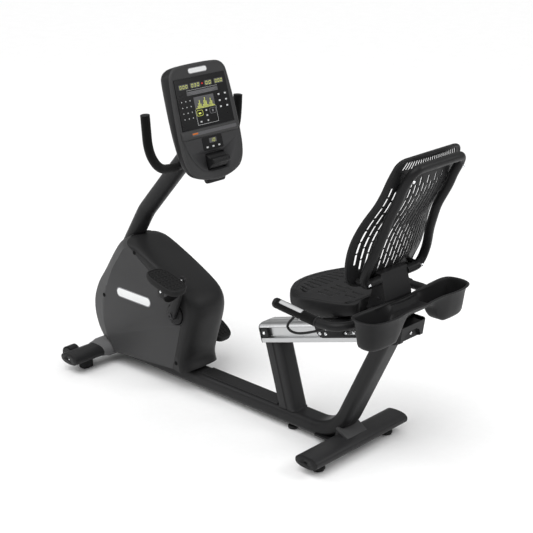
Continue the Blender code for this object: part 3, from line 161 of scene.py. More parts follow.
RAIL_TILT = math.radians(16.6)
FINISHES = {
    "frame_paint": surface("powder_coat", (0.0115, 0.0115, 0.012), 0.4, grain=1500, depth=0.22,
            wear=0.35, speck=0.16),
    "cover_plastic": surface("cover_moulding", (0.044, 0.044, 0.0448), 0.5, grain=1300, depth=0.16,
            vary=0.05, wear=0.25),
    "spine_plastic": surface("spine_moulding", (0.015, 0.015, 0.0154), 0.44, grain=1300, depth=0.18,
            vary=0.07, wear=0.3),
    "collar_plastic": surface("collar_moulding", (0.115, 0.115, 0.117), 0.45, grain=1300,
            depth=0.15, vary=0.06, wear=0.2),
    "lower_plastic": surface("panel_moulding", (0.034, 0.034, 0.0352), 0.47, grain=1300, depth=0.15,
            vary=0.05, wear=0.25),
    "black_plastic": surface("black_moulding", (0.0095, 0.0095, 0.01), 0.42, grain=1400, depth=0.16,
            wear=0.35),
    "seat_plastic": surface("seat_moulding", (0.0135, 0.0135, 0.014), 0.47, grain=900, depth=0.3,
            wear=0.3, speck=0.14),
    "rubber": surface("rubber", (0.011, 0.011, 0.0112), 0.62, grain=1100, depth=0.25, wear=0.45,
            speck=0.15),
    "foam": surface("foam", (0.0016, 0.0016, 0.0017), 0.9, grain=1500, depth=0.65, cells=True,
            speck=0.35, sheen=0.08),
    "aluminium": surface("brushed_aluminium", (0.52, 0.525, 0.53), 0.3, 1.0, grain=60, depth=0.05,
            vary=0.03,
                         stretch=(0.6, 30.0, 30.0), turn=RAIL_TILT, speck=0.03, rough_vary=0.05),
    "steel": surface("bright_steel", (0.66, 0.66, 0.67), 0.2, 1.0, grain=900, depth=0.06, vary=0.06,
            speck=0.05),
    "chrome": surface("chrome", (0.86, 0.87, 0.88), 0.09, 1.0, grain=500, depth=0.02, vary=0.03,
            speck=0.02, rough_vary=0.03),
    "screen": surface("display_cover", (0.007, 0.007, 0.0075), 0.3, grain=1800, depth=0.02,
            vary=0.2, coat=0.1, speck=0.04),
    "badge": surface("badge_white", (0.78, 0.79, 0.79), 0.3, grain=1600, depth=0.03, vary=0.03,
            speck=0.02, coat=0.3),
    "badge_rim": surface("badge_grey", (0.22, 0.22, 0.23), 0.35, grain=1600, depth=0.04, vary=0.05,
            speck=0.04),
    "dark_steel": surface("dark_steel", (0.045, 0.045, 0.047), 0.34, 0.6, grain=900, depth=0.08,
            vary=0.08),
    # Near-black finish for the screw wells, the crank opening and the drain holes: painted shade of
    # recesses, not a colour of the bike.
    "hole": surface("painted_recess_shade", (0.003, 0.003, 0.003), 0.85, grain=700, depth=0.2, vary=0.2),
    # White print given an emission glow: painted glow on printed marks.
    "print_white_painted_glow": lit("print_white_painted_glow", (0.55, 0.56, 0.56), 0.12),
    "print_grey": surface("print_grey", (0.1, 0.1, 0.104), 0.4, grain=1500, depth=0.05, vary=0.06,
            cells=True, speck=0.2),
    "print_lime": lit("print_lime", (0.56, 0.6, 0.12), 0.45),
    "print_red": lit("print_red", (0.55, 0.02, 0.02), 0.5),
    # Orange print given an emission glow: painted glow.
    "print_orange_painted_glow": lit("print_orange_painted_glow", (0.5, 0.13, 0.02), 0.15),
}


def round_edges(made, width, degrees, segments=2):
    bevel = made.modifiers.new("edges", "BEVEL")
    bevel.width = width
    bevel.segments = segments
    bevel.angle_limit = math.radians(degrees)


def paint_cad_nodes():
    """Gives every CAD node its finish and takes the sharpness off its edges."""
    for row in frame["record"]["subparts"]:
        found = frame["nodes"][row["node"]]
        found.data.materials.clear()
        found.data.materials.append(FINISHES[row["material_slot"]])
        weld = found.modifiers.new("weld", "WELD")
        weld.merge_threshold = 0.00002
        round_edges(found, 0.0007, 32)


paint_cad_nodes()


# --- outlines, paths and solids -----------------------------------------------------------------


def vectors(points):
    return [Vector(p) for p in points]


def rounded_rect(width, height, radius, steps=6):
    """Counter-clockwise outline with round corners, as (a, b) pairs."""
    points = []
    for quarter, (sx, sy) in enumerate(((1, 1), (-1, 1), (-1, -1), (1, -1))):
        for step in range(steps + 1):
            angle = math.pi / 2 * (quarter + step / steps)
            a = sx * (width / 2 - radius) + radius * math.cos(angle)
            points.append((a, sy * (height / 2 - radius) + radius * math.sin(angle)))
    return points


def oval(a, b, power, count):
    """Superellipse outline with half-axes a and b."""
    points = []
    for i in range(count):
        c = math.cos(2 * math.pi * i / count)
        s = math.sin(2 * math.pi * i / count)
        x = math.copysign(abs(c) ** (2 / power), c) * a
        points.append((x, math.copysign(abs(s) ** (2 / power), s) * b))
    return points


def circle(radius, count=40):
    return oval(radius, radius, 2.0, count)


def curve_through(points, per_span, closed=False):
    """Catmull-Rom curve through points of any dimension."""
    if closed:
        ends = [points[-1], *points, points[0], points[1]]
    else:
        ends = [2 * points[0] - points[1], *points, 2 * points[-1] - points[-2]]
    found = []
    for p0, p1, p2, p3 in zip(ends, ends[1:], ends[2:], ends[3:]):
        for step in range(per_span):
            t = step / per_span
            part = 2 * p1 + (p2 - p0) * t
            part = part + (2 * p0 - 5 * p1 + 4 * p2 - p3) * t**2
            part = part + (3 * p1 - p0 - 3 * p2 + p3) * t**3
            found.append(part / 2)
    if not closed:
        found.append(points[-1].copy())
    return found


def bent_path(points, radii, step_angle=math.radians(3)):
    """Polyline with each inner corner replaced by an arc of the given radius."""
    path = [points[0].copy()]
    for before, corner, after, radius in zip(points, points[1:], points[2:], radii):
        back = (before - corner).normalized()
        ahead = (after - corner).normalized()
        turn = math.pi - back.angle(ahead)
        reach = radius * math.tan(turn / 2)
        centre = corner + (back + ahead).normalized() * (radius / math.cos(turn / 2))
        start = corner + back * reach - centre
        axis = start.cross(corner + ahead * reach - centre).normalized()
        steps = max(2, math.ceil(turn / step_angle))
        for step in range(steps + 1):
            path.append(centre + Matrix.Rotation(turn * step / steps, 3, axis) @ start)
    path.append(points[-1].copy())
    return path


def shrink(outline, by):
    """Outline moved inward by a distance: each point slides along its own bisector."""
    points = vectors(outline)
    area = sum(a.x * b.y - b.x * a.y for a, b in zip(points, points[1:] + points[:1]))
    turn = 1 if area > 0 else -1
    found = []
    for i, point in enumerate(points):
        a = (point - points[i - 1]).normalized()
        b = (points[(i + 1) % len(points)] - point).normalized()
        first = Vector((-a.y, a.x)) * turn
        halfway = (first + Vector((-b.y, b.x)) * turn).normalized()
        found.append(tuple(point + halfway * (by / max(0.4, halfway.dot(first)))))
    return found


def loft(rings, cyclic=False, closed_rings=True, caps=True):
    """Surface through rings of equal length, capped at both ends or joined end to start."""
    bm = bmesh.new()
    rows = [[bm.verts.new(p) for p in ring] for ring in rings]
    count = len(rows[0])
    pairs = list(zip(rows, rows[1:])) + ([(rows[-1], rows[0])] if cyclic else [])
    for low, high in pairs:
        for i in range(count if closed_rings else count - 1):
            j = (i + 1) % count
            bm.faces.new((low[i], low[j], high[j], high[i]))
    if caps and not cyclic:
        bm.faces.new(rows[0])
        bm.faces.new(rows[-1])
    return bm


def placed_rings(path, outline, side=None):
    """Outline copies square to the path. side, where given, is the outline's first axis
    throughout."""
    rings = []
    previous = side
    for i, point in enumerate(path):
        ahead = path[min(i + 1, len(path) - 1)] - point
        behind = point - path[max(i - 1, 0)]
        tangent = (ahead.normalized() + behind.normalized()).normalized()
        if previous is None:
            previous = tangent.cross(UPRIGHT if abs(tangent.z) < 0.9 else Vector((1, 0, 0)))
        first = (previous - tangent * previous.dot(tangent)).normalized()
        second = tangent.cross(first)
        rings.append([point + (first * a + second * b) for a, b in outline])
        previous = first
    return rings


def rod(path, outline, side=None):
    return loft(placed_rings(path, outline, side))


def pipe(path, outer, inner, side=None):
    """Open tube: the outer skin, then the bore back to the start. Both outlines have as many
    points."""
    return loft(placed_rings(path, outer, side) + placed_rings(path, inner, side)[::-1],
            cyclic=True)


def prism(outline, low, high, axis="y", round_edge=0.0):
    """Outline pushed between two heights along an axis, with its two rims rounded over."""
    place = {
        "y": lambda a, b, h: Vector((a, h, b)),
        "z": lambda a, b, h: Vector((a, b, h)),
        "x": lambda a, b, h: Vector((h, a, b)),
    }[axis]
    levels = [(0.0, low), (0.0, high)]
    if round_edge:
        arc = [math.radians(a) for a in (0, 30, 60, 90)]
        start = [(round_edge * (1 - math.sin(a)), low + round_edge * (1 - math.cos(a)))
                for a in arc]
        levels = start + [(inset, high - (level - low)) for inset, level in start[::-1]]
    return loft([[place(a, b, h) for a, b in (shrink(outline, i) if i else outline)] for i,
            h in levels])


def turned(profile, centre, axis=ACROSS, count=40, ring=False):
    """Turned solid, or with ring=True a turned hoop. profile is (radius, height) pairs along the
    axis."""
    axis = Vector(axis).normalized()
    first = axis.cross(UPRIGHT if abs(axis.z) < 0.9 else Vector((1, 0, 0))).normalized()
    second = axis.cross(first)
    rings = []
    for radius, height in profile:
        outline = circle(radius, count)
        rings.append([centre + axis * height + first * a + second * b for a, b in outline])
    return loft(rings, cyclic=ring)


def floor_of(bm, row, rungs):
    """Closes a ring with one face, or with rungs from one long side of it to the other."""
    if not rungs:
        bm.faces.new(row)
        return
    count, half = len(row), len(row) // 2
    for turn in (1, -1):
        for i in range(half // 2):
            corners = [row[turn * step % count] for step in (i, i + 1, half - i - 1, half - i)]
            bm.faces.new(list(dict.fromkeys(corners)))


def hollow(outside, inside, rungs=False):
    """Shell from its rim round the outside to a floor, then back over the inside."""
    bm = bmesh.new()
    rows = [[bm.verts.new(p) for p in ring] for ring in outside + inside]
    split = len(outside)
    pairs = list(zip(rows[:split], rows[1:split])) + list(zip(rows[split:], rows[split + 1:]))
    for low, high in pairs + [(rows[-1], rows[0])]:
        for i in range(len(low)):
            j = (i + 1) % len(low)
            bm.faces.new((low[i], low[j], high[j], high[i]))
    floor_of(bm, rows[split - 1], rungs)
    floor_of(bm, rows[split], rungs)
    return bm


def smooth_step(value, low, high):
    t = min(1.0, max(0.0, (value - low) / (high - low)))
    return t * t * (3 - 2 * t)


# --- placing pieces -------------------------------------------------------------------------------


def build(name, bm, finish, sharp=35.0):
    """Object from a bmesh in datum coordinates."""
    bmesh.ops.recalc_face_normals(bm, faces=bm.faces)
    bmesh.ops.translate(bm, verts=bm.verts, vec=DATUM)
    mesh = bpy.data.meshes.new(name)
    bm.to_mesh(mesh)
    bm.free()
    mesh.shade_smooth()
    mesh.set_sharp_from_angle(angle=math.radians(sharp))
    made = bpy.data.objects.new(name, mesh)
    mesh.materials.append(FINISHES[finish])
    bpy.context.scene.collection.objects.link(made)
    return made


def piece(name, bm, finish, body, stands_for=(), sharp=35.0, bevel=0.0):
    """Visible piece that rides on a body. bevel rounds its sharp edges."""
    made = build(name, bm, finish, sharp)
    if bevel:
        round_edges(made, bevel, sharp)
    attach(made, body)
    if stands_for:
        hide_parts(*stands_for)
    return made


def join(parts):
    """One bmesh from several."""
    whole = bmesh.new()
    for part in parts:
        mesh = bpy.data.meshes.new("part")
        bmesh.ops.recalc_face_normals(part, faces=part.faces)
        part.to_mesh(mesh)
        part.free()
        whole.from_mesh(mesh)
        bpy.data.meshes.remove(mesh)
    return whole


def carve(target, name, bm):
    """Boolean on a piece with a tool that isn't rendered and moves with the piece."""
    tool = build(name, bm, "hole")
    tool.parent = target
    tool.matrix_parent_inverse = target.matrix_world.inverted()
    tool.hide_render = True
    tool.hide_viewport = True
    boolean = target.modifiers.new(name, "BOOLEAN")
    boolean.operation = "DIFFERENCE"
    boolean.solver = "EXACT"
    boolean.object = tool


def socket_screw(name, centre, axis, radius, body, finish="steel", depth=0.0022):
    """Button-head screw with a hexagon socket."""
    head = [(radius, 0.0), (radius, 0.25 * depth), (0.86 * radius, 0.75 * depth),
            (0.55 * radius, depth)]
    head += [(0.42 * radius, depth), (0.4 * radius, 0.3 * depth)]
    piece(name, turned(head, Vector(centre), axis, 24), finish, body, sharp=50.0)


# --- rail frame -------------------------------------------------------------------------------

RAIL_START = Vector((0.146, 0.0, 0.325))
RAIL_ALONG = Vector((math.cos(RAIL_TILT), 0.0, math.sin(RAIL_TILT)))
RAIL_UP = Vector((-math.sin(RAIL_TILT), 0.0, math.cos(RAIL_TILT)))


def on_rail(along, y, up):
    return RAIL_START + RAIL_ALONG * along + ACROSS * y + RAIL_UP * up


def meet_rail(ring, direction, up):
    """Slides each point of a ring along a direction until it lies at a height over the rail's
    base."""
    found = []
    for point in ring:
        height = (point - RAIL_START).dot(RAIL_UP)
        found.append(point + direction * ((up - height) / direction.dot(RAIL_UP)))
    return found


# --- frame ----------------------------------------------------------------------------------------

BASE_Z = 0.053
BASE_TOP = BASE_Z + 0.0295
BASE_BEND = 0.17
REAR_LEAN = math.radians(25.4)
REAR_FOOT_X = 0.479
RAIL_TOP = 0.0735
RAIL_HALF = 0.057
RAIL_LENGTH = 0.63
STAB_WIDTH = 0.1
STAB_HEIGHT = 0.044
STAB_POWER = 2.5
REAR_STAB = Vector((0.539, 0.0, 0.051))
FRONT_STAB = Vector((-0.733, 0.0, 0.06))
MAST_PATH = [(-0.675, 0.0829), (-0.675, 0.461), (-0.54, 0.677), (-0.2175, 1.0335)]


def stab_outline(grow, count=56):
    """Section of the cross tubes, grown outward."""
    return oval(STAB_WIDTH / 2 + grow, STAB_HEIGHT / 2 + grow, STAB_POWER, count)


def both_sides(half):
    """Outline from its right half, listed from the first point to the last and mirrored back."""
    return half + [(-a, b) for a, b in half[::-1]]


def mast_line(degrees):
    return bent_path([Vector((x, 0, z)) for x, z in MAST_PATH], [0.22, 0.3], math.radians(degrees))


def base_tube():
    rise = Vector((math.sin(REAR_LEAN), 0, math.cos(REAR_LEAN)))
    foot = Vector((REAR_FOOT_X, 0, BASE_Z))
    path = bent_path([Vector((-0.6825, 0, BASE_Z)), foot, foot + rise * 0.36], [BASE_BEND],
            math.radians(3))
    skins = []
    for wall in (0.0, 0.003):
        outline = rounded_rect(0.092 - 2 * wall, 0.059 - 2 * wall, 0.021 - wall, 8)
        rings = placed_rings(path, outline, ACROSS)
        rings[-1] = meet_rail(rings[-1], rise, -GAP)
        skins.append(rings)
    piece("base_tube", loft(skins[0] + skins[1][::-1], cyclic=True), "frame_paint", "frame",
            ["base_frame"])
    weld = placed_rings([path[-1] - rise * 0.01, path[-1] - rise * 0.004],
            rounded_rect(0.095, 0.062, 0.022, 6), ACROSS)
    piece("rear_weld", loft([meet_rail(ring, rise, -up) for ring, up in zip(weld, (0.009, 0.001))]),
            "frame_paint", "frame")


def front_post():
    """Post with a groove down each side and a small weld bead round its foot."""
    depth = 0.073
    centre = RAIL_START + RAIL_ALONG * (depth / 2 - 0.004)
    half, groove, corner = 0.04, 0.0045, 0.018
    seam = -depth / 2 + 0.038
    side = [(half - 0.004, -depth / 2), (half - 0.001, 0.001 - depth / 2),
            (half, 0.004 - depth / 2)]
    side += [(half, seam - groove), (half - 0.6 * groove, seam - 0.6 * groove),
            (half - groove, seam)]
    side += [(half - groove, seam + 0.001), (half - 0.5 * groove, seam + groove),
            (half + 0.0005, seam + 1.3 * groove)]
    for step in range(9):
        angle = math.pi / 2 * step / 8
        side.append((half - corner + corner * math.cos(angle),
                depth / 2 - corner + corner * math.sin(angle)))
    outline = both_sides(side)
    low = BASE_TOP + GAP
    rings = []
    for shape in (outline, shrink(outline, 0.0055)):
        ring = [centre + Vector((0, a, 0)) + RAIL_ALONG * b for a, b in shape]
        bottom = [p - RAIL_UP * ((p.z - low) / RAIL_UP.z) for p in ring]
        rings.append([bottom, meet_rail(ring, RAIL_UP, -GAP)])
    piece("front_post", loft(rings[0] + rings[1][::-1], cyclic=True), "frame_paint", "frame",
            ["front_upright"])
    bead = []
    for grow, up in ((-0.003, 0.0), (-0.0015, 0.0016), (0.0, 0.004), (0.0008, 0.0046)):
        ring = [centre + Vector((0, a, 0)) + RAIL_ALONG * b for a, b in shrink(outline, grow)]
        bead.append([p - RAIL_UP * ((p.z - low - up) / RAIL_UP.z) for p in ring])
    piece("post_weld", loft(bead), "frame_paint", "frame")


def tread():
    """Stepped cover on the base tube with grip ribs across its top."""
    low = BASE_TOP + GAP
    half, rows = 0.03, 9
    pitch = 2 * half / rows
    outline = [(-half - 0.004, low), (half + 0.004, low), (half + 0.003, low + 0.003),
            (half, low + 0.0042)]
    for rib in range(rows):
        edge = half - pitch * rib
        outline += [(edge - pitch * 0.15, low + 0.0058), (edge - pitch * 0.6, low + 0.0058)]
        outline += [(edge - pitch * 0.72, low + 0.0044), (edge - pitch * 0.98, low + 0.0044)]
    outline.append((-half - 0.003, low + 0.003))
    piece("tread", prism(outline, -0.205, 0.198, "x"), "spine_plastic", "frame", ["step_cover"],
            bevel=0.0003)


def mast_tube():
    piece("mast_tube", pipe(mast_line(2), circle(0.035, 56), circle(0.032, 56), ACROSS),
            "frame_paint", "frame", ["mast"])


def rail_extrusion():
    """Seat rail: crowned top with two fine lines, open roller channel and bottom flange."""
    half = [(0.0, RAIL_TOP), (0.018, RAIL_TOP), (0.0195, RAIL_TOP - 0.0006),
            (0.021, RAIL_TOP - 0.0001)]
    half += [(0.036, RAIL_TOP - 0.0012), (0.048, RAIL_TOP - 0.0048), (0.0545, RAIL_TOP - 0.0105)]
    half += [(0.0568, 0.06), (0.0562, 0.0562), (0.0545, 0.055), (0.0425, 0.054), (0.041, 0.0525)]
    half += [(0.041, 0.0205), (0.0425, 0.019), (0.0545, 0.0178), (0.0566, 0.0165),
            (RAIL_HALF, 0.0145)]
    half += [(RAIL_HALF, 0.0012), (0.0558, 0.0), (0.033, 0.0), (0.033, 0.056)]
    outline = half + [(-a, b) for a, b in half[:0:-1]]
    rings = [[on_rail(along, a, b) for a, b in outline] for along in (0.0, RAIL_LENGTH)]
    piece("rail_extrusion", loft(rings), "aluminium", "frame", ["seat_rail"], sharp=24.0,
            bevel=0.0005)


def rail_cap():
    """Moulded cap on the rail's front end with a recess and a stop screw."""
    half = [(0.02, RAIL_TOP), (0.036, RAIL_TOP - 0.0012), (0.048, RAIL_TOP - 0.0048),
            (0.0545, RAIL_TOP - 0.0105)]
    half += [(0.057, 0.056), (0.057, 0.015), (0.056, 0.0)]
    outline = both_sides(half)
    rings = []
    for inset, along in ((0.0, -GAP), (0.0, -0.0035), (0.001, -0.005), (0.003, -0.0058)):
        rings.append([on_rail(along, a, b) for a, b in shrink(outline, inset)])
    stops = []
    for side in (-1, 1):
        block = [(side * a, b) for a, b in rounded_rect(0.0125, 0.032, 0.002, 3)]
        block = [(a + side * 0.048, b + 0.0365) for a, b in block]
        stops.append(loft([[on_rail(along, a, b) for a, b in block] for along in (-0.002, 0.034)]))
    cap = piece("rail_end_cap", join([loft(rings)] + stops), "black_plastic", "frame",
            ["rail_front_cap"])
    pocket = [[on_rail(along, a, b + 0.036) for a, b in rounded_rect(0.074, 0.04, 0.006, 6)]
            for along in (-0.02, -0.0035)]
    carve(cap, "cap_pocket", loft(pocket))
    for side, word in SIDES:
        socket_screw(f"cap_screw_{word}", on_rail(-0.0035, side * 0.02, 0.036), -RAIL_ALONG, 0.006,
                "frame")
    socket_screw("stop_bolt", on_rail(0.016, -0.0545, 0.036), (0, -1, 0), 0.0062, "frame", "chrome",
            0.0042)


def stabilisers():
    """Rear cross tube, and both tubes' end plugs with a slotted hole. The front tube is the CAD
    node."""
    section = stab_outline(0.0)
    for name, place, half in (("rear", REAR_STAB, 0.25), ("front", FRONT_STAB, 0.272)):
        if name == "rear":
            ends = [place - ACROSS * half, place + ACROSS * half]
            tube = pipe(ends, section, shrink(section, 0.003), Vector((1, 0, 0)))
            piece("rear_cross_tube", tube, "frame_paint", "frame", ["rear_stabiliser"])
        for side, word in SIDES:
            rings = []
            for inset, out in ((0.0, GAP), (0.0, 0.0035), (0.001, 0.0055), (0.004, 0.007)):
                ring = shrink(section, inset) if inset else section
                rings.append([place + Vector((a, side * (half + out), b)) for a, b in ring])
            plug = piece(f"{name}_{word}_plug", loft(rings), "black_plastic", "frame",
                    [f"{name}_{word}_cap"])
            slot = rounded_rect(0.016, 0.0085, 0.0042, 6)
            hole = prism([(place.x + a, place.z + b) for a, b in slot], side * (half + 0.0025),
                    side * (half + 0.012))
            carve(plug, f"{name}_{word}_slot", hole)
            if name == "front":
                face = place + Vector((0.0, side * (half + 0.0025), 0.0))
                socket_screw(f"front_{word}_plug_screw", face, (0, side, 0), 0.0036, "frame",
                        "chrome", 0.0022)


def saddle_plate():
    """Thick sloping plate over the bracket that ties the bend to the rear cross tube, with its
    bolts."""
    slope = [(0.502, 0.0935), (0.5035, 0.1), (0.511, 0.1025), (0.516, 0.1005), (0.559, 0.0735),
            (0.559, 0.068)]
    slope += [(0.554, 0.0655), (0.5485, 0.066)]
    piece("saddle_cover", prism(slope, -0.0535, 0.0535, "y"), "cover_plastic", "frame",
            ["rear_saddle"], bevel=0.0016)
    under = [(0.49, 0.056), (0.496, 0.088), (0.506, 0.093), (0.548, 0.066), (0.55, 0.056)]
    piece("saddle_bracket", prism(under, -0.044, 0.044, "y"), "frame_paint", "frame", bevel=0.001)
    flange = [(0.395 + 0.06 + a, b) for a, b in rounded_rect(0.12, 0.104, 0.008, 5)]
    piece("bend_flange", prism(flange, 0.031, 0.037, "z"), "frame_paint", "frame", bevel=0.0008)
    for side, word in SIDES:
        under = Vector((REAR_STAB.x - 0.036, side * 0.03, 0.066))
        socket_screw(f"saddle_bolt_{word}", under, (-0.7, 0, 0.7), 0.0062, "frame", "dark_steel",
                0.0035)


def wheel_guards():
    """Moulded guard round the front and top of each transport wheel."""
    for side, word in SIDES:
        hub = Vector((-0.806, side * 0.205, 0.046))
        arc = [math.radians(20 + 10 * step) for step in range(19)]
        outer = [(hub.x + 0.0325 * math.cos(a), hub.z + 0.0325 * math.sin(a)) for a in arc]
        inner = [(hub.x + 0.0275 * math.cos(a), hub.z + 0.0275 * math.sin(a)) for a in arc]
        rings = [[Vector((x, hub.y + offset, z)) for x, z in outer + inner[::-1]]
                for offset in (-0.0225, 0.0225)]
        cheeks = []
        for offset in (-0.021, 0.021):
            low, high = hub.y + offset - 0.0015, hub.y + offset + 0.0015
            cheeks.append(prism(outer + [(hub.x - 0.02, hub.z - 0.008),
                    (hub.x + 0.02, hub.z - 0.004)], low, high))
        piece(f"{word}_wheel_guard", join([loft(rings)] + cheeks), "black_plastic", "frame",
                bevel=0.0008)


def feet():
    """Scalloped levelling feet, and the small pad under the middle of the base."""
    profile = [(0.015, 0.0, 0), (0.022, 0.0008, 0.001), (0.0238, 0.003, 0.0014),
            (0.0238, 0.012, 0.0014)]
    profile += [(0.0222, 0.015, 0.001), (0.015, 0.0168, 0), (0.007, 0.0175, 0), (0.006, 0.02, 0)]
    profile.append((0.006, 0.0287, 0))
    for side, word in SIDES:
        centre = Vector((REAR_STAB.x, side * 0.19, 0))
        rings = []
        for radius, height, scallop in profile:
            ring = []
            for i in range(96):
                angle = 2 * math.pi * i / 96
                r = radius + scallop * math.cos(8 * angle)
                ring.append(centre + Vector((r * math.cos(angle), r * math.sin(angle), height)))
            rings.append(ring)
        piece(f"rear_{word}_pad", loft(rings), "rubber", "frame", [f"rear_{word}_foot"])
    pad = [(0.016, 0.0006), (0.019, 0.0022), (0.019, 0.0105), (0.0165, 0.0125), (0.007, 0.013),
            (0.007, 0.0236)]
    piece("middle_pad", turned(pad, Vector((0.26, -0.012, 0.0)), UPRIGHT, 40), "rubber", "frame")


def collar():
    """Grey cuff where the front cross tube leaves the casing, with a rolled lip."""
    steps = [(-0.131, 0.001), (-0.1305, 0.0028), (-0.127, 0.0034), (-0.112, 0.0058),
            (-0.098, 0.0105)]
    steps += [(y * -1, grow) for y, grow in steps[::-1]]
    rings = []
    for y, grow in steps:
        outline = stab_outline(grow)
        rings.append([FRONT_STAB + Vector((a, y, b)) for a, b in outline])
    for y in (0.131, -0.131):
        outline = stab_outline(GAP)
        rings.append([FRONT_STAB + Vector((a, y, b)) for a, b in outline])
    made = piece("front_cuff", loft(rings, cyclic=True), "collar_plastic", "frame",
            ["front_collar"], sharp=50.0)
    opening = [(FRONT_STAB.x + 0.01, 0.0), (-0.6, 0.0), (-0.6, 0.15), (FRONT_STAB.x + 0.01, 0.15)]
    carve(made, "cuff_opening", prism(opening, -0.06, 0.06))


base_tube()
front_post()
tread()
mast_tube()
rail_extrusion()
rail_cap()
stabilisers()
saddle_plate()
wheel_guards()
feet()
collar()


# --- drive and casing -----------------------------------------------------------------------------

CRANK_LENGTH = 0.177
CRANK_TILT = math.radians(22.7)
CRANK_Y = 0.118
PEDAL_Y = 0.186
PEDAL_PITCH = {"left": math.radians(14.7), "right": math.radians(30.0)}
CASING_HALF = 0.097
CASING_SHOULDER = 0.05


def crank_arm(side, word):
    """Forged arm, thicker at the boss, with a bolt in the axle and a ring round the pedal eye."""
    sign = -side
    end = CRANK + Vector((math.sin(CRANK_TILT), 0, math.cos(CRANK_TILT))) * (sign * CRANK_LENGTH)
    along = (end - CRANK).normalized()
    across = ACROSS.cross(along)
    shape = []
    for centre, radius, first in ((CRANK, 0.019, 90), (end, 0.0155, -90)):
        for step in range(21):
            angle = math.radians(first + 180 * step / 20)
            shape.append(centre + (across * math.sin(angle) + along * math.cos(angle)) * radius)
    flat = [(p.x, p.z) for p in shape]
    inner, outer = side * (CRANK_Y - 0.006), side * (CRANK_Y + 0.008)
    steps = ((0.0015, inner), (0.0, inner + side * 0.0015), (0.0, outer - side * 0.003),
            (0.0009, outer - side * 0.0009))
    rings = []
    for inset, y in (*steps, (0.003, outer)):
        rings.append([Vector((x, y, z)) for x, z in shrink(flat, inset)])
    piece(f"{word}_arm_forging", loft(rings), "frame_paint", "crank", [f"{word}_crank_arm"])
    bolt = [(0.01, 0.0), (0.01, 0.0025), (0.0085, 0.004), (0.005, 0.004), (0.0048, 0.0015)]
    piece(f"{word}_arm_bolt", turned(bolt, Vector((CRANK.x, outer, CRANK.z)), ACROSS * side, 32),
            "dark_steel", "crank")
    eye = [(0.0105, 0.0), (0.0105, 0.0016), (0.0085, 0.0026), (0.0045, 0.0028), (0.0042, 0.0012)]
    piece(f"{word}_eye_cap", turned(eye, Vector((end.x, inner, end.z)), ACROSS * -side, 32),
            "chrome", "crank")
    spindle = [(0.0075, 0.0), (0.0075, 0.003), (0.0065, 0.0045), (0.0065, 0.022)]
    base = Vector((end.x, outer, end.z))
    piece(f"{word}_spindle", turned(spindle, base, ACROSS * side, 28), "steel", "crank")
    return end


def crank_disc(side, word):
    """Turned cover round the axle with a rolled rim and two shallow steps."""
    profile = [(0.0101, 0.0), (0.0395, 0.0), (0.0402, 0.0012), (0.0402, 0.0036), (0.039, 0.0052),
            (0.035, 0.0072)]
    profile += [(0.031, 0.008), (0.03, 0.0074), (0.0285, 0.0074), (0.027, 0.0085), (0.018, 0.009),
            (0.0101, 0.009)]
    base = Vector((CRANK.x, side * 0.099, CRANK.z))
    made = turned(profile, base, ACROSS * side, 64, ring=True)
    piece(f"{word}_axle_cover", made, "black_plastic", "crank", [f"{word}_crank_disc"])


def pedal(side, word, end):
    """Platform with wavy grip ribs and a buckled strap arched under it."""
    body = f"{word}_pedal_swing"
    centre = Vector((end.x, side * PEDAL_Y, end.z))
    turn = Matrix.Rotation(PEDAL_PITCH[word], 3, "Y")

    def local(a, b, h):
        return centre + turn @ Vector((a, b, h))

    reach_out = 0.02
    outline = [(a - reach_out, b) for a, b in oval(0.066 + reach_out, 0.049, 3.2, 96)]
    rings = []
    for scale, height in ((0.86, -0.0135), (0.94, -0.0128), (0.985, -0.0095), (1.0, -0.004),
            (1.0, 0.005)):
        rings.append([local(a * scale, b * scale, height) for a, b in outline])
    for scale, height in ((0.985, 0.0095), (0.955, 0.0118), (0.925, 0.012), (0.915, 0.01)):
        rings.append([local(a * scale, b * scale, height) for a, b in outline])
    piece(f"{word}_platform", loft(rings), "rubber", body, [f"{word}_pedal"])
    ribs = []
    for row in range(5):
        b0 = (row - 2) * 0.0165
        reach = 0.068 * (1 - abs(b0 / 0.05) ** 3.2) ** (1 / 3.2)
        line = []
        for step in range(41):
            a = reach * (2 * step / 40 - 1)
            line.append(local(a - reach_out, b0 + 0.003 * math.sin(a * 300), 0.0106))
        section = [(-0.0022, -0.001), (0.0022, -0.001), (0.0017, 0.0016), (-0.0017, 0.0016)]
        ribs.append(rod(line, section, turn @ ACROSS))
    piece(f"{word}_grip_ribs", join(ribs), "rubber", body, bevel=0.0003)
    band = []
    for step in range(41):
        angle = math.pi * step / 40
        band.append(local(0.004, 0.0455 * math.cos(angle),
                -0.0125 - 0.051 * math.sin(angle) ** 0.8))
    section = [(-0.018, -0.0006), (-0.0165, -0.0013), (0.0165, -0.0013), (0.018, -0.0006),
            (0.018, 0.0008)]
    section += [(0.0165, 0.0015), (-0.0165, 0.0015), (-0.018, 0.0008)]
    piece(f"{word}_strap_band", rod(band, section, turn @ Vector((1, 0, 0))), "rubber", body,
            [f"{word}_pedal_strap"])
    for edge in (-1, 1):
        stud = [(0.0048, 0.0), (0.0048, 0.001), (0.0034, 0.002), (0.0012, 0.0023)]
        where = local(0.004, edge * 0.047, -0.0145)
        word_edge = "inner" if edge * side < 0 else "outer"
        piece(f"{word}_strap_stud_{word_edge}", turned(stud, where, turn @ (ACROSS * edge), 24),
                "chrome", body)


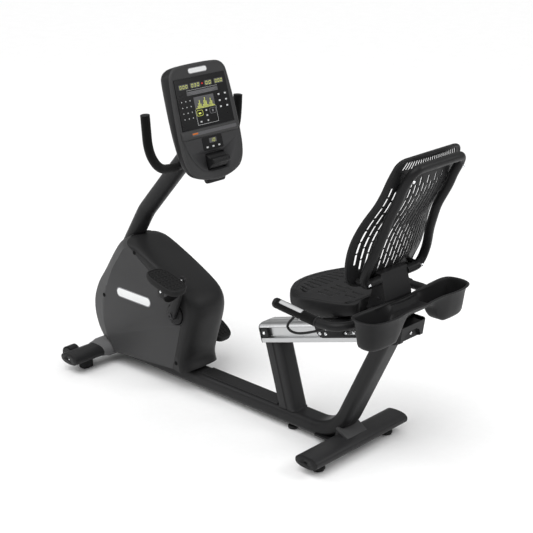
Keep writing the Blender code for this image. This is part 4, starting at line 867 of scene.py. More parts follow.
def casing_rows():
    """Rows of points round the casing, seen from the side: the flat cheek's edge and the outer
    edge."""
    cheek = vectors([
        (-0.66, 0.06), (-0.7, 0.125), (-0.716, 0.185), (-0.719, 0.235), (-0.7095, 0.285),
        (-0.69, 0.345),
        (-0.655, 0.422), (-0.612, 0.482), (-0.578, 0.528), (-0.545, 0.545), (-0.5, 0.533),
        (-0.43, 0.507),
        (-0.345, 0.468), (-0.264, 0.424), (-0.228, 0.392), (-0.216, 0.356), (-0.222, 0.31),
        (-0.238, 0.248),
        (-0.258, 0.18), (-0.268, 0.125), (-0.266, 0.086),
    ])
    edge = vectors([
        (-0.775, 0.075), (-0.808, 0.118), (-0.829, 0.175), (-0.832, 0.228), (-0.822, 0.272),
        (-0.796, 0.327),
        (-0.749, 0.391), (-0.694, 0.474), (-0.644, 0.535), (-0.585, 0.571), (-0.532, 0.57),
        (-0.427, 0.526),
        (-0.333, 0.486), (-0.243, 0.443), (-0.203, 0.412), (-0.182, 0.376), (-0.179, 0.338),
        (-0.194, 0.285),
        (-0.222, 0.205), (-0.244, 0.14), (-0.224, 0.098),
    ])
    return cheek, edge


SPAN = 4
SEAM_AT = 9
CHEEK, EDGE = casing_rows()
SEAM = vectors([(-0.545, 0.545), (-0.519, 0.5306), (-0.47, 0.4996), (-0.4205, 0.47), (-0.33, 0.4)])
SEAM += vectors([(-0.262, 0.318), (-0.254, 0.286), (-0.284, 0.171), (-0.307, 0.092)])


def casing_point(cheek, edge, level, spine):
    if spine:
        angle = level * math.pi / 2
        flat = cheek.lerp(edge, math.sin(angle) ** 0.9)
        y = CASING_HALF * math.cos(angle) ** 0.8
    elif level <= 0.72:
        t = level / 0.72
        flat = cheek.lerp(edge, t * 0.94 + 0.06 * math.sin(t * math.pi / 2))
        y = CASING_HALF + (CASING_SHOULDER - CASING_HALF) * t
    else:
        t = (level - 0.72) / 0.28
        flat = edge + (edge - cheek).normalized() * 0.006 * math.sin(t * math.pi / 2)
        y = CASING_SHOULDER * (1 - t)
    return flat.x, y, flat.y


def sheet(rows_of_points, lid):
    """Open sheet through rows of points, plus a flat face from the first row round a seam."""
    bm = bmesh.new()
    rows = [[bm.verts.new(p) for p in row] for row in rows_of_points]
    for low, high in zip(rows, rows[1:]):
        for i in range(len(low) - 1):
            bm.faces.new((low[i], low[i + 1], high[i + 1], high[i]))
    for row, extra in lid:
        bm.faces.new(rows[row] + [bm.verts.new(p) for p in extra])
    return bm


def shelled(name, bm, finish, stands_for, tools, inward):
    """Thickens a sheet inward, cuts the openings, then rounds every sharp edge."""
    bmesh.ops.recalc_face_normals(bm, faces=bm.faces)
    bm.normal_update()
    lifted = sum(f.normal.y * inward for f in bm.faces if abs(f.normal.y) > 0.9)
    if lifted < 0:
        bmesh.ops.reverse_faces(bm, faces=bm.faces)
    made = piece(name, bm, finish, "frame", stands_for, sharp=28.0)
    thick = made.modifiers.new("wall", "SOLIDIFY")
    thick.thickness = 0.0026
    thick.offset = -1.0
    for tool_name, tool in tools:
        carve(made, f"{name}_{tool_name}", tool())
    round_edges(made, 0.0011, 26, 3)


def mast_room():
    return rod(mast_line(3), circle(0.0358, 48), ACROSS)


def crank_opening():
    return prism([(CRANK.x + a, CRANK.z + b) for a, b in circle(0.0445, 64)], -0.15, 0.15)


def collar_room():
    outline = stab_outline(0.0109, 48)
    return loft([[FRONT_STAB + Vector((a, y, b)) for a, b in outline] for y in (-0.15, 0.15)])


def casing():
    """Two pale side covers in front and a darker spine behind, meeting at an open seam."""
    front_cheek = curve_through(CHEEK[:SEAM_AT + 1], SPAN)
    front_edge = curve_through(EDGE[:SEAM_AT + 1], SPAN)
    levels = [0.0, 0.12, 0.24, 0.36, 0.48, 0.6, 0.68, 0.76, 0.84, 0.92, 0.997]
    for side, word in SIDES:
        rows = []
        for level in levels:
            points = [casing_point(c, e, level, False) for c, e in zip(front_cheek, front_edge)]
            rows.append([Vector((x, side * max(y, 0.0004), z)) for x, y, z in points])
        lid = [Vector((p.x - 0.0007, side * CASING_HALF, p.y - 0.0007)) for p in SEAM[1:]]
        tools = (("crank", crank_opening), ("mast", mast_room), ("cuff", collar_room))
        bm = sheet(rows, [(0, lid)])
        shelled(f"{word}_cover", bm, "cover_plastic", [f"{word}_side_cover"], tools, side)
    back_cheek = curve_through(CHEEK[SEAM_AT:], SPAN)
    back_edge = curve_through(EDGE[SEAM_AT:], SPAN)
    rows = []
    fine = [0.0, 0.1, 0.2, 0.32, 0.44, 0.56, 0.68, 0.8, 0.9]
    for side, level in [(-1, level) for level in fine] + [(-1, 1.0)] + [(1, level)
            for level in fine[::-1]]:
        points = [casing_point(c, e, level, True) for c, e in zip(back_cheek, back_edge)]
        rows.append([Vector((x, side * y, z)) for x, y, z in points])
        rows[-1][0].x += 0.0007
    lids = []
    for side, row in ((-1, 0), (1, len(rows) - 1)):
        lids.append((row, [Vector((p.x + 0.0007, side * CASING_HALF, p.y + 0.0007))
                for p in SEAM[:0:-1]]))
    tools = (("crank", crank_opening), ("mast", mast_room))
    shelled("spine_shell", sheet(rows, lids), "spine_plastic", ["spine_cover"], tools, -1)


def cover_details():
    """Screws set on near-black rings and discs that paint the shade of their recesses, a blank
    badge on each cheek and a near-black ring behind the crank disc that paints the shade inside the
    casing.
    """
    spots = ((-0.512, 0.528), (-0.71, 0.298), (-0.285, 0.122))
    for side, word in SIDES:
        for number, (x, z) in enumerate(spots):
            at = Vector((x, side * CASING_HALF, z))
            # Rim, floor disc and screw head all take the near-black recess finish: painted shade of
            # a screw well, drawn as thin raised rings.
            well = [(0.0085, 0.0002), (0.0078, 0.0009), (0.0062, 0.0009), (0.0054, 0.0002)]
            piece(f"{word}_screw_shade_ring{number}", turned(well, at, ACROSS * side, 32), "hole", "frame")
            well_shade_disc = [(0.0056, 0.0001), (0.0056, 0.0006), (0.003, 0.0007)]
            piece(f"{word}_screw_shade_disc{number}", turned(well_shade_disc, at, ACROSS * side, 24), "hole",
                    "frame")
            socket_screw(f"{word}_cover_screw{number}", at + ACROSS * (side * 0.0004),
                    ACROSS * side, 0.0036, "frame", "hole", 0.001)
        y = side * CASING_HALF
        for name, width, height, finish, out in (
            ("badge_rim", 0.204, 0.042, "badge_rim", 0.001),
            ("badge", 0.196, 0.034, "badge", 0.0014),
        ):
            outline = [(-0.526 + a, 0.337 + b) for a,
                    b in rounded_rect(width, height, height / 2 - 0.0003, 10)]
            low, high = sorted((y, y + side * out))
            piece(f"{word}_{name}", prism(outline, low, high, "y", 0.0004), finish, "frame")
        ring = [(0.044, 0.0), (0.0466, 0.0), (0.0466, 0.0012), (0.0452, 0.0018), (0.044, 0.0012)]
        at = Vector((CRANK.x, y, CRANK.z))
        piece(f"{word}_crank_rim", turned(ring, at, ACROSS * side, 72, ring=True), "spine_plastic",
                "frame")
        # Near-black disc in the crank opening: painted shade of the casing's inside.
        back = [(0.012, 0.0), (0.0438, 0.0), (0.0438, 0.0006), (0.012, 0.0006)]
        at = Vector((CRANK.x, side * 0.0955, CRANK.z))
        piece(f"{word}_crank_shade_ring", turned(back, at, ACROSS * side, 48, ring=True), "hole", "frame")


for side, word in SIDES:
    crank_disc(side, word)
    pedal(side, word, crank_arm(side, word))
casing()
cover_details()


# --- console, handlebar -----------------------------------------------------------------------

CONSOLE_CENTRE = Vector((-0.211, 0.0, 1.1654))
CONSOLE_TILT = math.radians(15.4)
FACE = Vector((math.cos(CONSOLE_TILT), 0.0, math.sin(CONSOLE_TILT)))
FACE_UP = Vector((-math.sin(CONSOLE_TILT), 0.0, math.cos(CONSOLE_TILT)))
CONSOLE_DEPTH = 0.0545
PADDLE_DROP = 0.221
GLASS_OUT = 0.0098
PRINT = 0.00035


def on_face(y, up, out):
    return CONSOLE_CENTRE + Vector((0, y, 0)) + FACE_UP * up + FACE * out


def console_outline():
    half = vectors([
        (0.0, 0.1426), (0.074, 0.141), (0.112, 0.135), (0.134, 0.118), (0.143, 0.09), (0.151, 0.0),
        (0.155, -0.09), (0.154, -0.15), (0.15, -0.195), (0.138, -0.234), (0.112, -0.264),
        (0.06, -0.283), (0.0, -0.29),
    ])
    mirror = [Vector((-p.x, p.y)) for p in half[-2:0:-1]]
    return [tuple(p) for p in curve_through(half + mirror, 5, closed=True)]


def face_solid(outline, steps):
    """Solid over the console's face plane from (inset, height) steps."""
    rings = []
    for inset, out in steps:
        rings.append([on_face(y, up, out) for y,
                up in (shrink(outline, inset) if inset else outline)])
    return loft(rings)


def face_plate(y, up, width, height, radius, low, high, ease=0.0002):
    outline = [(y + a, up + b) for a, b in rounded_rect(width, height, radius, 6)]
    return face_solid(outline, ((0.0, low), (0.0, high - ease), (ease, high)))


def printed(y, up, width, height, radius, ease=0.0002):
    """Mark printed on the glass."""
    return face_plate(y, up, width, height, radius, GLASS_OUT, GLASS_OUT + PRINT, ease)


def tub_rings(outline, steps, thickness):
    rings = []
    for inset, share in steps:
        ring = []
        for y, up in shrink(outline, inset):
            depth = (CONSOLE_DEPTH + 0.085 * up - thickness) * share
            ring.append(on_face(y, up, -max(depth, GAP)))
        rings.append(ring)
    return rings


def housing():
    outline = console_outline()
    outside = [(0.0004, 0.0), (0.0, 0.05), (0.0005, 0.35), (0.0022, 0.6), (0.006, 0.78),
            (0.012, 0.9), (0.019, 0.97)]
    outside.append((0.027, 1.0))
    inside = [(0.03, 1.0), (0.0095, 0.78), (0.0035, 0.35), (0.003, 0.0)]
    tub = hollow(tub_rings(outline, outside, 0.0), tub_rings(outline, inside, 0.003))
    made = piece("housing_shell", tub, "black_plastic", "frame", ["console_housing"], sharp=40.0)
    carve(made, "housing_mast_hole", mast_room())
    rings = []
    for up, half, deep in ((-0.268, 0.049, 0.0), (-0.29, 0.0465, 0.0), (-0.297, 0.0435, 0.001),
            (-0.3, 0.04, 0.003)):
        shape = [(a, b - 0.017) for a, b in rounded_rect(2 * half, 0.022 - 2 * deep, 0.0035, 5)]
        rings.append([on_face(y, up, out) for y, out in shape])
    nub = piece("housing_nub", loft(rings), "black_plastic", "frame")
    for side, word in SIDES:
        slot = [[on_face(side * 0.022 + a, up, b - 0.017) for a,
                b in rounded_rect(0.016, 0.009, 0.002, 4)] for up in (-0.31, -0.292)]
        carve(nub, f"nub_slot_{word}", loft(slot))
    grille = []
    for row in range(6):
        up = 0.02 - row * 0.013
        depth = CONSOLE_DEPTH + 0.085 * up
        outline = rounded_rect(0.11, 0.0042, 0.002, 4)
        grille.append(loft([[on_face(a, up + b, -out) for a, b in outline]
                for out in (depth - 0.0012, depth + 0.004)]))
    carve(made, "grille", join(grille))
    for number, (y, up) in enumerate(((-0.105, 0.095), (0.105, 0.095), (-0.112, -0.215),
            (0.112, -0.215))):
        at = on_face(y, up, -(CONSOLE_DEPTH + 0.085 * up) - 0.0002)
        socket_screw(f"housing_screw{number}", at, -FACE, 0.0048, "frame", "steel", 0.0018)


def bezel():
    """Front frame: a raised rolled rim round the outline, a pocket for the glass and the paddle's
    well."""
    outline = console_outline()
    profile = [(0.0006, 0.0), (0.0, 0.0016), (0.0002, 0.0052), (0.0014, 0.0078), (0.0036, 0.0093),
            (0.0062, 0.0098)]
    profile += [(0.0084, 0.0092), (0.0098, 0.008), (0.0108, 0.0078)]
    made = piece("bezel_frame", face_solid(outline, profile), "cover_plastic", "frame",
            ["console_bezel"], sharp=32.0)
    glass = [(-0.1275, 0.0925), (-0.1325, -0.0925), (0.1325, -0.0925), (0.1275, 0.0925)]
    pocket = [[on_face(y, up, out) for y, up in shrink(glass, -0.0004)] for out in (0.0045, 0.03)]
    carve(made, "glass_pocket", loft(pocket))
    slot = rounded_rect(0.098, 0.068, 0.007, 6)
    carve(made, "paddle_cutout", loft(well_rings(slot)))
    round_edges(made, 0.0008, 40)
    lens = face_solid(glass, ((0.0, 0.0046), (0.0, GLASS_OUT - 0.0005), (0.0005, GLASS_OUT)))
    piece("glass", lens, "screen", "frame", ["display_lens"], bevel=0.0004)
    tray = [(y, up - PADDLE_DROP) for y, up in rounded_rect(0.096, 0.066, 0.006, 6)]
    sides = [[on_face(y, up, out) for y, up in shrink(tray, inset)] for inset,
            out in ((0.0, 0.0072), (0.0006, -0.01))]
    floor = [[on_face(y, up, out) for y, up in shrink(tray, inset)] for inset,
            out in ((0.0026, -0.008), (0.002, 0.0072))]
    piece("paddle_well", hollow(sides, floor), "black_plastic", "frame")
    lower = [(-0.138, -0.129), (-0.127, -0.17), (-0.1135, -0.2), (-0.09, -0.231), (-0.062, -0.251),
            (0.0, -0.263)]
    lower += [(0.072, -0.261), (0.108, -0.243), (0.129, -0.215), (0.142, -0.18), (0.1455, -0.129)]
    panel = [tuple(p) for p in curve_through(vectors(lower), 4)]
    raised = piece("lower_panel",
            face_solid(panel[::-1], ((0.0, 0.004), (0.0, 0.009), (0.0008, 0.0096))),
                   "lower_plastic", "frame", sharp=30.0)
    carve(raised, "panel_cutout", loft(well_rings(slot)))


def well_rings(slot):
    return [[on_face(y, up - PADDLE_DROP, out) for y, up in slot] for out in (-0.02, 0.03)]


def seven_segment(y, up, width, height, segments, level):
    """Numeral from lit bars. segments lists any of the seven bars, lettered clockwise from the
    top."""
    bar = 0.2 * width
    spots = {
        "a": (0.0, height / 2, 1), "g": (0.0, 0.0, 1), "d": (0.0, -height / 2, 1),
        "f": (-width / 2, height / 4, 0), "b": (width / 2, height / 4, 0),
        "e": (-width / 2, -height / 4, 0), "c": (width / 2, -height / 4, 0),
    }
    made = []
    for key in segments:
        dy, du, flat = spots[key]
        size = (width - bar * 1.1, bar) if flat else (bar, height / 2 - bar * 1.1)
        lean = 0.12 * du
        made.append(face_plate(y + dy + lean, up + du, size[0], size[1], bar * 0.45, level,
                level + PRINT, 0.0001))
    return made


NUMERALS = {"0": "abcdef", "1": "bc", "2": "abged", "3": "abgcd", "5": "afgcd", "6": "afgedc",
        "8": "abcdefg"}


def display_graphics():
    """Windows, numerals, key dots and icons on the glass: the numerals lit, the white key dots and
    icons printed with a painted glow. None of it spells anything."""
    base = GLASS_OUT
    windows, digits = [], []
    groups = (
        (-0.111, -0.064, "000"), (-0.053, -0.005, "030"), (0.018, 0.055, "00"),
        (0.067, 0.112, "000"),
    )
    for low, high, numerals in groups:
        windows.append(printed((low + high) / 2, 0.063, high - low, 0.0185, 0.0025))
        pitch = (high - low - 0.004) / len(numerals)
        for place, numeral in enumerate(numerals):
            y = low + 0.002 + pitch * (place + 0.5)
            digits += seven_segment(y, 0.063, pitch * 0.55, 0.0105, NUMERALS[numeral], base + PRINT)
    windows.append(printed(0.0, 0.0365, 0.156, 0.0145, 0.002))
    windows.append(printed(0.0, -0.0025, 0.1, 0.045, 0.002))
    piece("display_windows", join(windows), "print_grey", "frame")
    peaks = []
    heights = (1, 1, 3, 6, 9, 5, 2, 4, 8, 11, 7, 3, 2, 5, 9, 6, 2, 1)
    for column, rows in enumerate(heights):
        y = -0.0467 + column * 0.0055
        for row in range(rows):
            peaks.append(face_plate(y, -0.0225 + row * 0.0034, 0.004, 0.0021, 0.0005, base + PRINT,
                    base + 2 * PRINT, 0.0001))
    piece("display_digits", join(digits + peaks), "print_lime", "frame")
    red = printed(0.0065, 0.064, 0.006, 0.006, 0.0028)
    piece("display_mark", red, "print_red", "frame")
    # White key dots, icons and lines below: print with a painted glow.
    white = []
    for row in range(4):
        for column in range(3):
            y, up = -0.111 + 0.021 * column, 0.011 - 0.021 * row
            white.append(turned([(0.002, 0.0), (0.002, PRINT), (0.0016, PRINT)],
                    on_face(y, up, base), FACE, 16))
    for row in range(3):
        for y in (0.077, 0.11):
            white.append(printed(y, 0.013 - 0.023 * row, 0.0092, 0.006, 0.0022))
    for side in (-1, 1):
        white.append(printed(side * 0.052, -0.0535, 0.001, 0.057, 0.0004, 0.0001))
    white.append(printed(0.0, -0.0825, 0.105, 0.001, 0.0004, 0.0001))
    white.append(printed(0.0, 0.048, 0.156, 0.0008, 0.0003, 0.0001))
    for y, up, size in ((0.001, -0.0345, 0.0075), (0.001, -0.053, 0.008), (0.001, -0.072, 0.0065),
            (-0.034, -0.072, 0.009)):
        white.append(printed(y, up, size, 0.0052, 0.0015))
    piece("display_icons", join(white), "print_white_painted_glow", "frame")
    boxes = []
    for y in (-0.033, 0.033):
        frame_line = rounded_rect(0.03, 0.02, 0.005, 5)
        path = [on_face(y + a, -0.04 + b, base + 0.0002) for a, b in frame_line]
        boxes.append(loft(placed_rings(path + path[:1], circle(0.0007, 6), FACE), caps=False))
    boxes.append(printed(-0.033, -0.041, 0.013, 0.006, 0.002))
    lime, plain = join([boxes[0], boxes[2]]), boxes[1]
    piece("display_button", lime, "print_lime", "frame")
    grey = [plain, printed(0.033, -0.04, 0.007, 0.009, 0.002)]
    for row in range(3):
        grey.append(face_plate(0.0, 0.0405 - 0.0045 * row, 0.14 - 0.02 * row, 0.0011, 0.0004,
                base + PRINT, base + 2 * PRINT))
    piece("display_keys", join(grey), "badge_rim", "frame")


def console_trim():
    """Blank badge, the ledge under the glass, its speckled bar and the small readout over the
    paddle."""
    top = 0.0078
    piece("console_badge_rim", face_plate(-0.002, 0.116, 0.096, 0.022, 0.0108, top, top + 0.0008),
            "badge_rim", "frame")
    piece("console_badge", face_plate(-0.002, 0.116, 0.09, 0.0165, 0.008, top, top + 0.0014),
            "badge", "frame")
    ledge = [(0.0, -0.0945), (0.0085, -0.0945), (0.015, -0.0985), (0.0165, -0.101),
            (0.0165, -0.121), (0.014, -0.1255)]
    ledge += [(0.0085, -0.129), (0.0, -0.129)]
    rings = []
    for y, share in ((-0.144, 0.55), (-0.1405, 0.9), (-0.134, 1.0), (0.134, 1.0), (0.1405, 0.9),
            (0.144, 0.55)):
        rings.append([on_face(y, up, out * share) for out, up in ledge])
    piece("ledge", loft(rings), "cover_plastic", "frame", sharp=30.0, bevel=0.0008)
    piece("ledge_strip", face_plate(0.0165, -0.111, 0.226, 0.0125, 0.003, 0.016, 0.0174),
            "print_grey", "frame")
    # Orange print on the bar, with a painted glow.
    piece("ledge_mark", face_plate(-0.082, -0.1095, 0.027, 0.0055, 0.0015, 0.017, 0.0179),
            "print_orange_painted_glow", "frame")
    piece("readout", face_plate(0.0, -0.1545, 0.102, 0.049, 0.006, 0.009, 0.0104), "screen",
            "frame")
    piece("readout_window", face_plate(0.003, -0.1455, 0.037, 0.0175, 0.002, 0.0104,
            0.0104 + PRINT), "print_grey", "frame")
    digits = []
    for place, numeral in enumerate("10"):
        digits += seven_segment(-0.0035 + 0.013 * place, -0.1455, 0.007, 0.0115, NUMERALS[numeral],
                0.0104 + PRINT)
    piece("readout_digits", join(digits), "print_lime", "frame")
    # White marks on the readout: print with a painted glow.
    marks = [face_plate(y, -0.168, 0.01, 0.006, 0.002, 0.0104, 0.0104 + PRINT)
            for y in (-0.03, 0.0, 0.03)]
    piece("readout_icons", join(marks), "print_white_painted_glow", "frame")


def paddle():
    """Barrel with a flat lip and end plates."""
    centre = on_face(0.0, -PADDLE_DROP, 0.002)
    shape = []
    for step in range(41):
        angle = math.radians(28 + (332 - 28) * step / 40)
        shape.append((0.027 * math.cos(angle), 0.027 * math.sin(angle)))
    shape += [(0.03, -0.0115), (0.039, -0.0105), (0.0415, -0.0085), (0.0425, -0.005),
            (0.0425, 0.004)]
    shape += [(0.0415, 0.0075), (0.0385, 0.0095), (0.03, 0.0115)]
    rings = []
    ends = [(-0.044, 0.88), (-0.0432, 0.95), (-0.0412, 0.99), (-0.039, 1.0)]
    for y, scale in ends + [(-y, scale) for y, scale in ends[::-1]]:
        rings.append([centre + ACROSS * y + (FACE * a + FACE_UP * b) * scale for a, b in shape])
    piece("paddle_barrel", loft(rings), "black_plastic", "paddle", ["resistance_paddle"],
            sharp=40.0)
    for row in range(4):
        place = centre + FACE * 0.0426 + FACE_UP * (-0.003 + 0.002 * row)
        line = [place - ACROSS * 0.03, place + ACROSS * 0.03]
        piece(f"paddle_rib{row}", rod(line, circle(0.0006, 8), FACE), "black_plastic", "paddle")


def bar_line():
    points = [(-0.314, 0.0, 0.9025), (-0.314, 0.045, 0.9025), (-0.305, 0.09, 0.9085),
            (-0.291, 0.136, 0.9205)]
    points += [(-0.277, 0.177, 0.9475), (-0.268, 0.209, 0.988), (-0.264, 0.226, 1.033)]
    points += [(-0.262, 0.2325, 1.0825), (-0.262, 0.237, 1.144)]
    return vectors(points)


def handlebar():
    """Foam-covered bars: the sleeve ends flat by the mast and in a domed cap at its tip."""
    points = bar_line()
    for side, word in SIDES:
        line = curve_through([Vector((p.x, side * p.y, p.z)) for p in points[1:]], 8)
        tip = (line[-1] - line[-2]).normalized()
        path = line + [line[-1] + tip * 0.0004]
        sleeve = placed_rings(path, circle(0.0175, 40), UPRIGHT)
        first = sleeve[0]
        middle_of = sum(first, Vector()) / len(first)
        start = [[middle_of + (p - middle_of) * 0.8 for p in first]]
        made = piece(f"{word}_sleeve", loft(start + sleeve), "foam", "frame", [f"{word}_bar_grip"],
                sharp=60.0)
        cap = [(0.0172, 0.0), (0.0176, 0.0006), (0.0168, 0.0018), (0.012, 0.003), (0.004, 0.0034)]
        piece(f"{word}_sleeve_cap", turned(cap, line[-1] + tip * 0.0003, tip, 40), "black_plastic",
                "frame", sharp=60.0)


housing()
bezel()
display_graphics()
console_trim()
paddle()
handlebar()


# --- seat -------------------------------------------------------------------------------------

BRIDGE = 0.081
PLATE_INNER = 0.06
PLATE = 0.0045
HANDLE_Y = 0.25
LEVER_Y = -0.2255
POST_TOP = 0.612
PAN_TOP = 0.64
TUBE_RADIUS = 0.016
BACK_SAMPLES = 5
SHELL_WALL = 0.0035
DISH_POWER = 2.2


def carriage_plate():
    """Folded plate that straddles the rail, with rounded front corners, bolts and the rollers'
    hubs."""
    low, outer, top = 0.0175, PLATE_INNER + PLATE, BRIDGE + PLATE
    half = [(outer, low), (outer, top - 0.006), (outer - 0.0018, top - 0.0018),
            (outer - 0.006, top)]
    inner = [(PLATE_INNER - 0.003, BRIDGE), (PLATE_INNER, BRIDGE - 0.003), (PLATE_INNER, low)]
    outline = both_sides(half) + [(-a, b) for a, b in inner[::-1]] + inner
    rings = [[on_rail(along, a, b) for a, b in outline] for along in (0.288, 0.64)]
    made = piece("carriage_channel", loft(rings), "frame_paint", "seat", ["seat_carriage"],
            sharp=24.0)
    corner = []
    for step in range(9):
        angle = math.radians(90 + 90 * step / 8)
        corner.append((0.288 + 0.03 + 0.0302 * math.cos(angle),
                0.0175 + 0.036 + 0.036 * math.sin(angle)))
    shape = [(0.28, 0.01), (0.3185, 0.01)] + [(a, 0.0175 + 0.036 - (b - 0.0535)) for a,
            b in corner] + [(0.28, 0.0535)]
    for side, word in SIDES:
        y = side * outer
        tool = [[on_rail(a, y + offset, b) for a, b in shape] for offset in (-0.012, 0.012)]
        carve(made, f"carriage_corner_{word}", loft(tool))
        for number, (station, up) in enumerate(((0.3085, 0.035), (0.336, 0.0335), (0.56, 0.062))):
            where = on_rail(station, side * (outer + 0.0001), up)
            socket_screw(f"carriage_bolt_{word}{number}", where, (0, side, 0), 0.0066, "seat",
                    "chrome", 0.0046)
        slot = [(0.447 + a, 0.0345 + b) for a, b in rounded_rect(0.066, 0.015, 0.0072, 6)]
        carve(made, f"carriage_slot_{word}",
                loft([[on_rail(a, y + d, b) for a, b in slot] for d in (-0.009, 0.009)]))
        for number, station in enumerate((0.429, 0.465)):
            where = on_rail(station, side * (outer - 0.003), 0.0345)
            socket_screw(f"carriage_stop_{word}{number}", where, (0, side, 0), 0.0058, "seat",
                    "chrome", 0.0046)
    round_edges(made, 0.0008, 30)
    for station, end in ((0.325, "front"), (0.6, "rear")):
        for side, word in SIDES:
            body = f"{end}_{word}_wheel"
            centre = on_rail(station, side * 0.0495, 0.0365)
            profile = [(0.0152, -0.0065), (0.0166, -0.006), (0.0172, -0.0045), (0.0172, 0.0045),
                    (0.0166, 0.006)]
            profile += [(0.0152, 0.0065), (0.01, 0.0066), (0.0095, 0.007), (0.007, 0.0072),
                    (0.0041, 0.0102)]
            profile.append((0.0041, 0.0104))
            made_roller = turned(profile, centre, ACROSS * side, 48)
            piece(f"{end}_{word}_runner", made_roller, "chrome", body, [f"{end}_{word}_roller"],
                    sharp=40.0)


def seat_box():
    """Box post between the carriage and the pan, with its lever ear."""
    outline = rounded_rect(0.174, 0.104, 0.012, 8)
    floor_up = BRIDGE + PLATE + GAP
    skins = []
    for inset in (0.0, 0.003):
        top = [Vector((0.511 + a, b, POST_TOP)) for a, b in shrink(outline, inset)]
        skins.append([meet_rail(top, Vector((0, 0, -1)), floor_up), top])
    box = loft(skins[0] + skins[1][::-1], cyclic=True)
    ear = [(0.574, 0.556), (0.604, 0.556), (0.61, 0.5585), (0.612, 0.563), (0.61, 0.5675),
            (0.604, 0.57), (0.574, 0.57)]
    piece("seat_box", join([box, prism(ear, LEVER_Y + 0.0083, -0.05)]), "frame_paint", "seat",
            ["seat_post"], bevel=0.0008)


def closed_round(right, per_span):
    """Smooth closed outline from the points of its right half."""
    return curve_through(right + [Vector((p.x, -p.y)) for p in right[-2:0:-1]], per_span,
            closed=True)


def pan_height(x, y):
    rise = 0.035 * (x - 0.5)
    nose = -0.4 * max(0.0, 0.39 - x) ** 1.6
    wing = 0.004 * (abs(y) / 0.18) ** 2
    edge = -0.02 * max(0.0, (abs(y) - 0.15) / 0.045) * smooth_step(x, 0.52, 0.38)
    return PAN_TOP - 0.014 + rise + nose + wing + edge


def pill(start, end, along, cross, radius):
    """Slot outline: two half circles round its ends."""
    outline = []
    for centre, first in ((start, 90), (end, -90)):
        for step in range(7):
            angle = math.radians(first + 30 * step)
            outline.append(centre + (along * math.cos(angle) + cross * math.sin(angle)) * radius)
    return outline


def fan_slots():
    """Curved vents pressed through the pan: rows that fan out from its middle."""
    rows = (
        (0.358, 0.0, 0.43, 0.0), (0.36, 0.024, 0.43, 0.029), (0.364, 0.05, 0.43, 0.06),
        (0.37, 0.078, 0.428, 0.092), (0.379, 0.106, 0.424, 0.122), (0.398, 0.13, 0.432, 0.144),
        (0.47, 0.02, 0.532, 0.021), (0.47, 0.05, 0.532, 0.053), (0.468, 0.082, 0.53, 0.087),
        (0.466, 0.112, 0.526, 0.118), (0.56, 0.04, 0.598, 0.041), (0.56, 0.08, 0.598, 0.08),
    )
    tools = []
    for x0, y0, x1, y1 in rows:
        for side in (-1, 1):
            if side > 0 and y0 == 0:
                continue
            start, end = Vector((x0, side * y0)), Vector((x1, side * y1))
            along = (end - start).normalized()
            cross = Vector((-along.y, along.x))
            outline = pill(start, end, along, cross, 0.0052)
            heights = (PAN_TOP - 0.05, PAN_TOP + 0.05)
            tools.append(loft([[Vector((p.x, p.y, z)) for p in outline] for z in heights]))
    return join(tools)


def seat_pan():
    """Dished pan with a crisp rolled front edge, tucked walls and rows of vents."""
    right = vectors([
        (0.316, 0.0), (0.322, 0.042), (0.334, 0.078), (0.352, 0.11), (0.376, 0.148), (0.402, 0.176),
        (0.44, 0.191), (0.49, 0.194), (0.54, 0.188), (0.59, 0.172), (0.63, 0.15), (0.6425, 0.134),
        (0.64, 0.112), (0.628, 0.085), (0.624, 0.045), (0.624, 0.0),
    ])
    outline = closed_round(right, 6)
    base = PAN_TOP - 0.072
    heart = Vector((0.49, 0.0))

    def ring(scale, drop, level=None, push=0.0):
        found = []
        for point in outline:
            p = heart + (point - heart) * scale
            forward = push * (1 - smooth_step(p.x, 0.33, 0.47))
            height = pan_height(p.x, p.y) - drop if level is None else level
            found.append(Vector((p.x - forward, p.y, height)))
        return found

    def wall(scale, lift=0.0):
        return [Vector((p.x, p.y, base + lift + 0.24 * max(0.0, p.x - 0.54)))
                for p in ring(scale, 0.0)]

    outer = [wall(0.925), wall(0.94, 0.004), ring(0.998, 0.04, push=0.01),
            ring(1.004, 0.032, push=0.015)]
    outer += [ring(1.006, 0.02, push=0.016), ring(1.006, 0.011, push=0.015),
            ring(1.005, 0.005, push=0.013)]
    outer += [ring(1.003, 0.002, push=0.011), ring(0.998, 0.0005, push=0.008), ring(0.985, 0.0),
            ring(0.965, 0.0)]
    outer += [ring(scale / 100, 0.0) for scale in (93, 86, 78, 70, 60, 50, 40, 30, 20, 10)]
    seat = POST_TOP + GAP
    inner = [ring(0.1, 0.0, seat), ring(0.5, 0.0, seat), ring(0.8, 0.0, seat), ring(0.97, 0.014)]
    inner += [ring(0.975, 0.034), wall(0.905)]
    made = piece("pan", hollow(outer, inner), "seat_plastic", "seat", ["seat_pan"], sharp=45.0)
    carve(made, "pan_vents", fan_slots())
    lip = []
    for scale, drop in ((0.955, -0.0002), (0.95, -0.0012), (0.944, -0.0012), (0.939, -0.0002)):
        lip.append([p for p in ring(scale, drop) if p.x < 0.62])
    piece("pan_bead", loft(lip, closed_rings=False, caps=False), "seat_plastic", "seat")


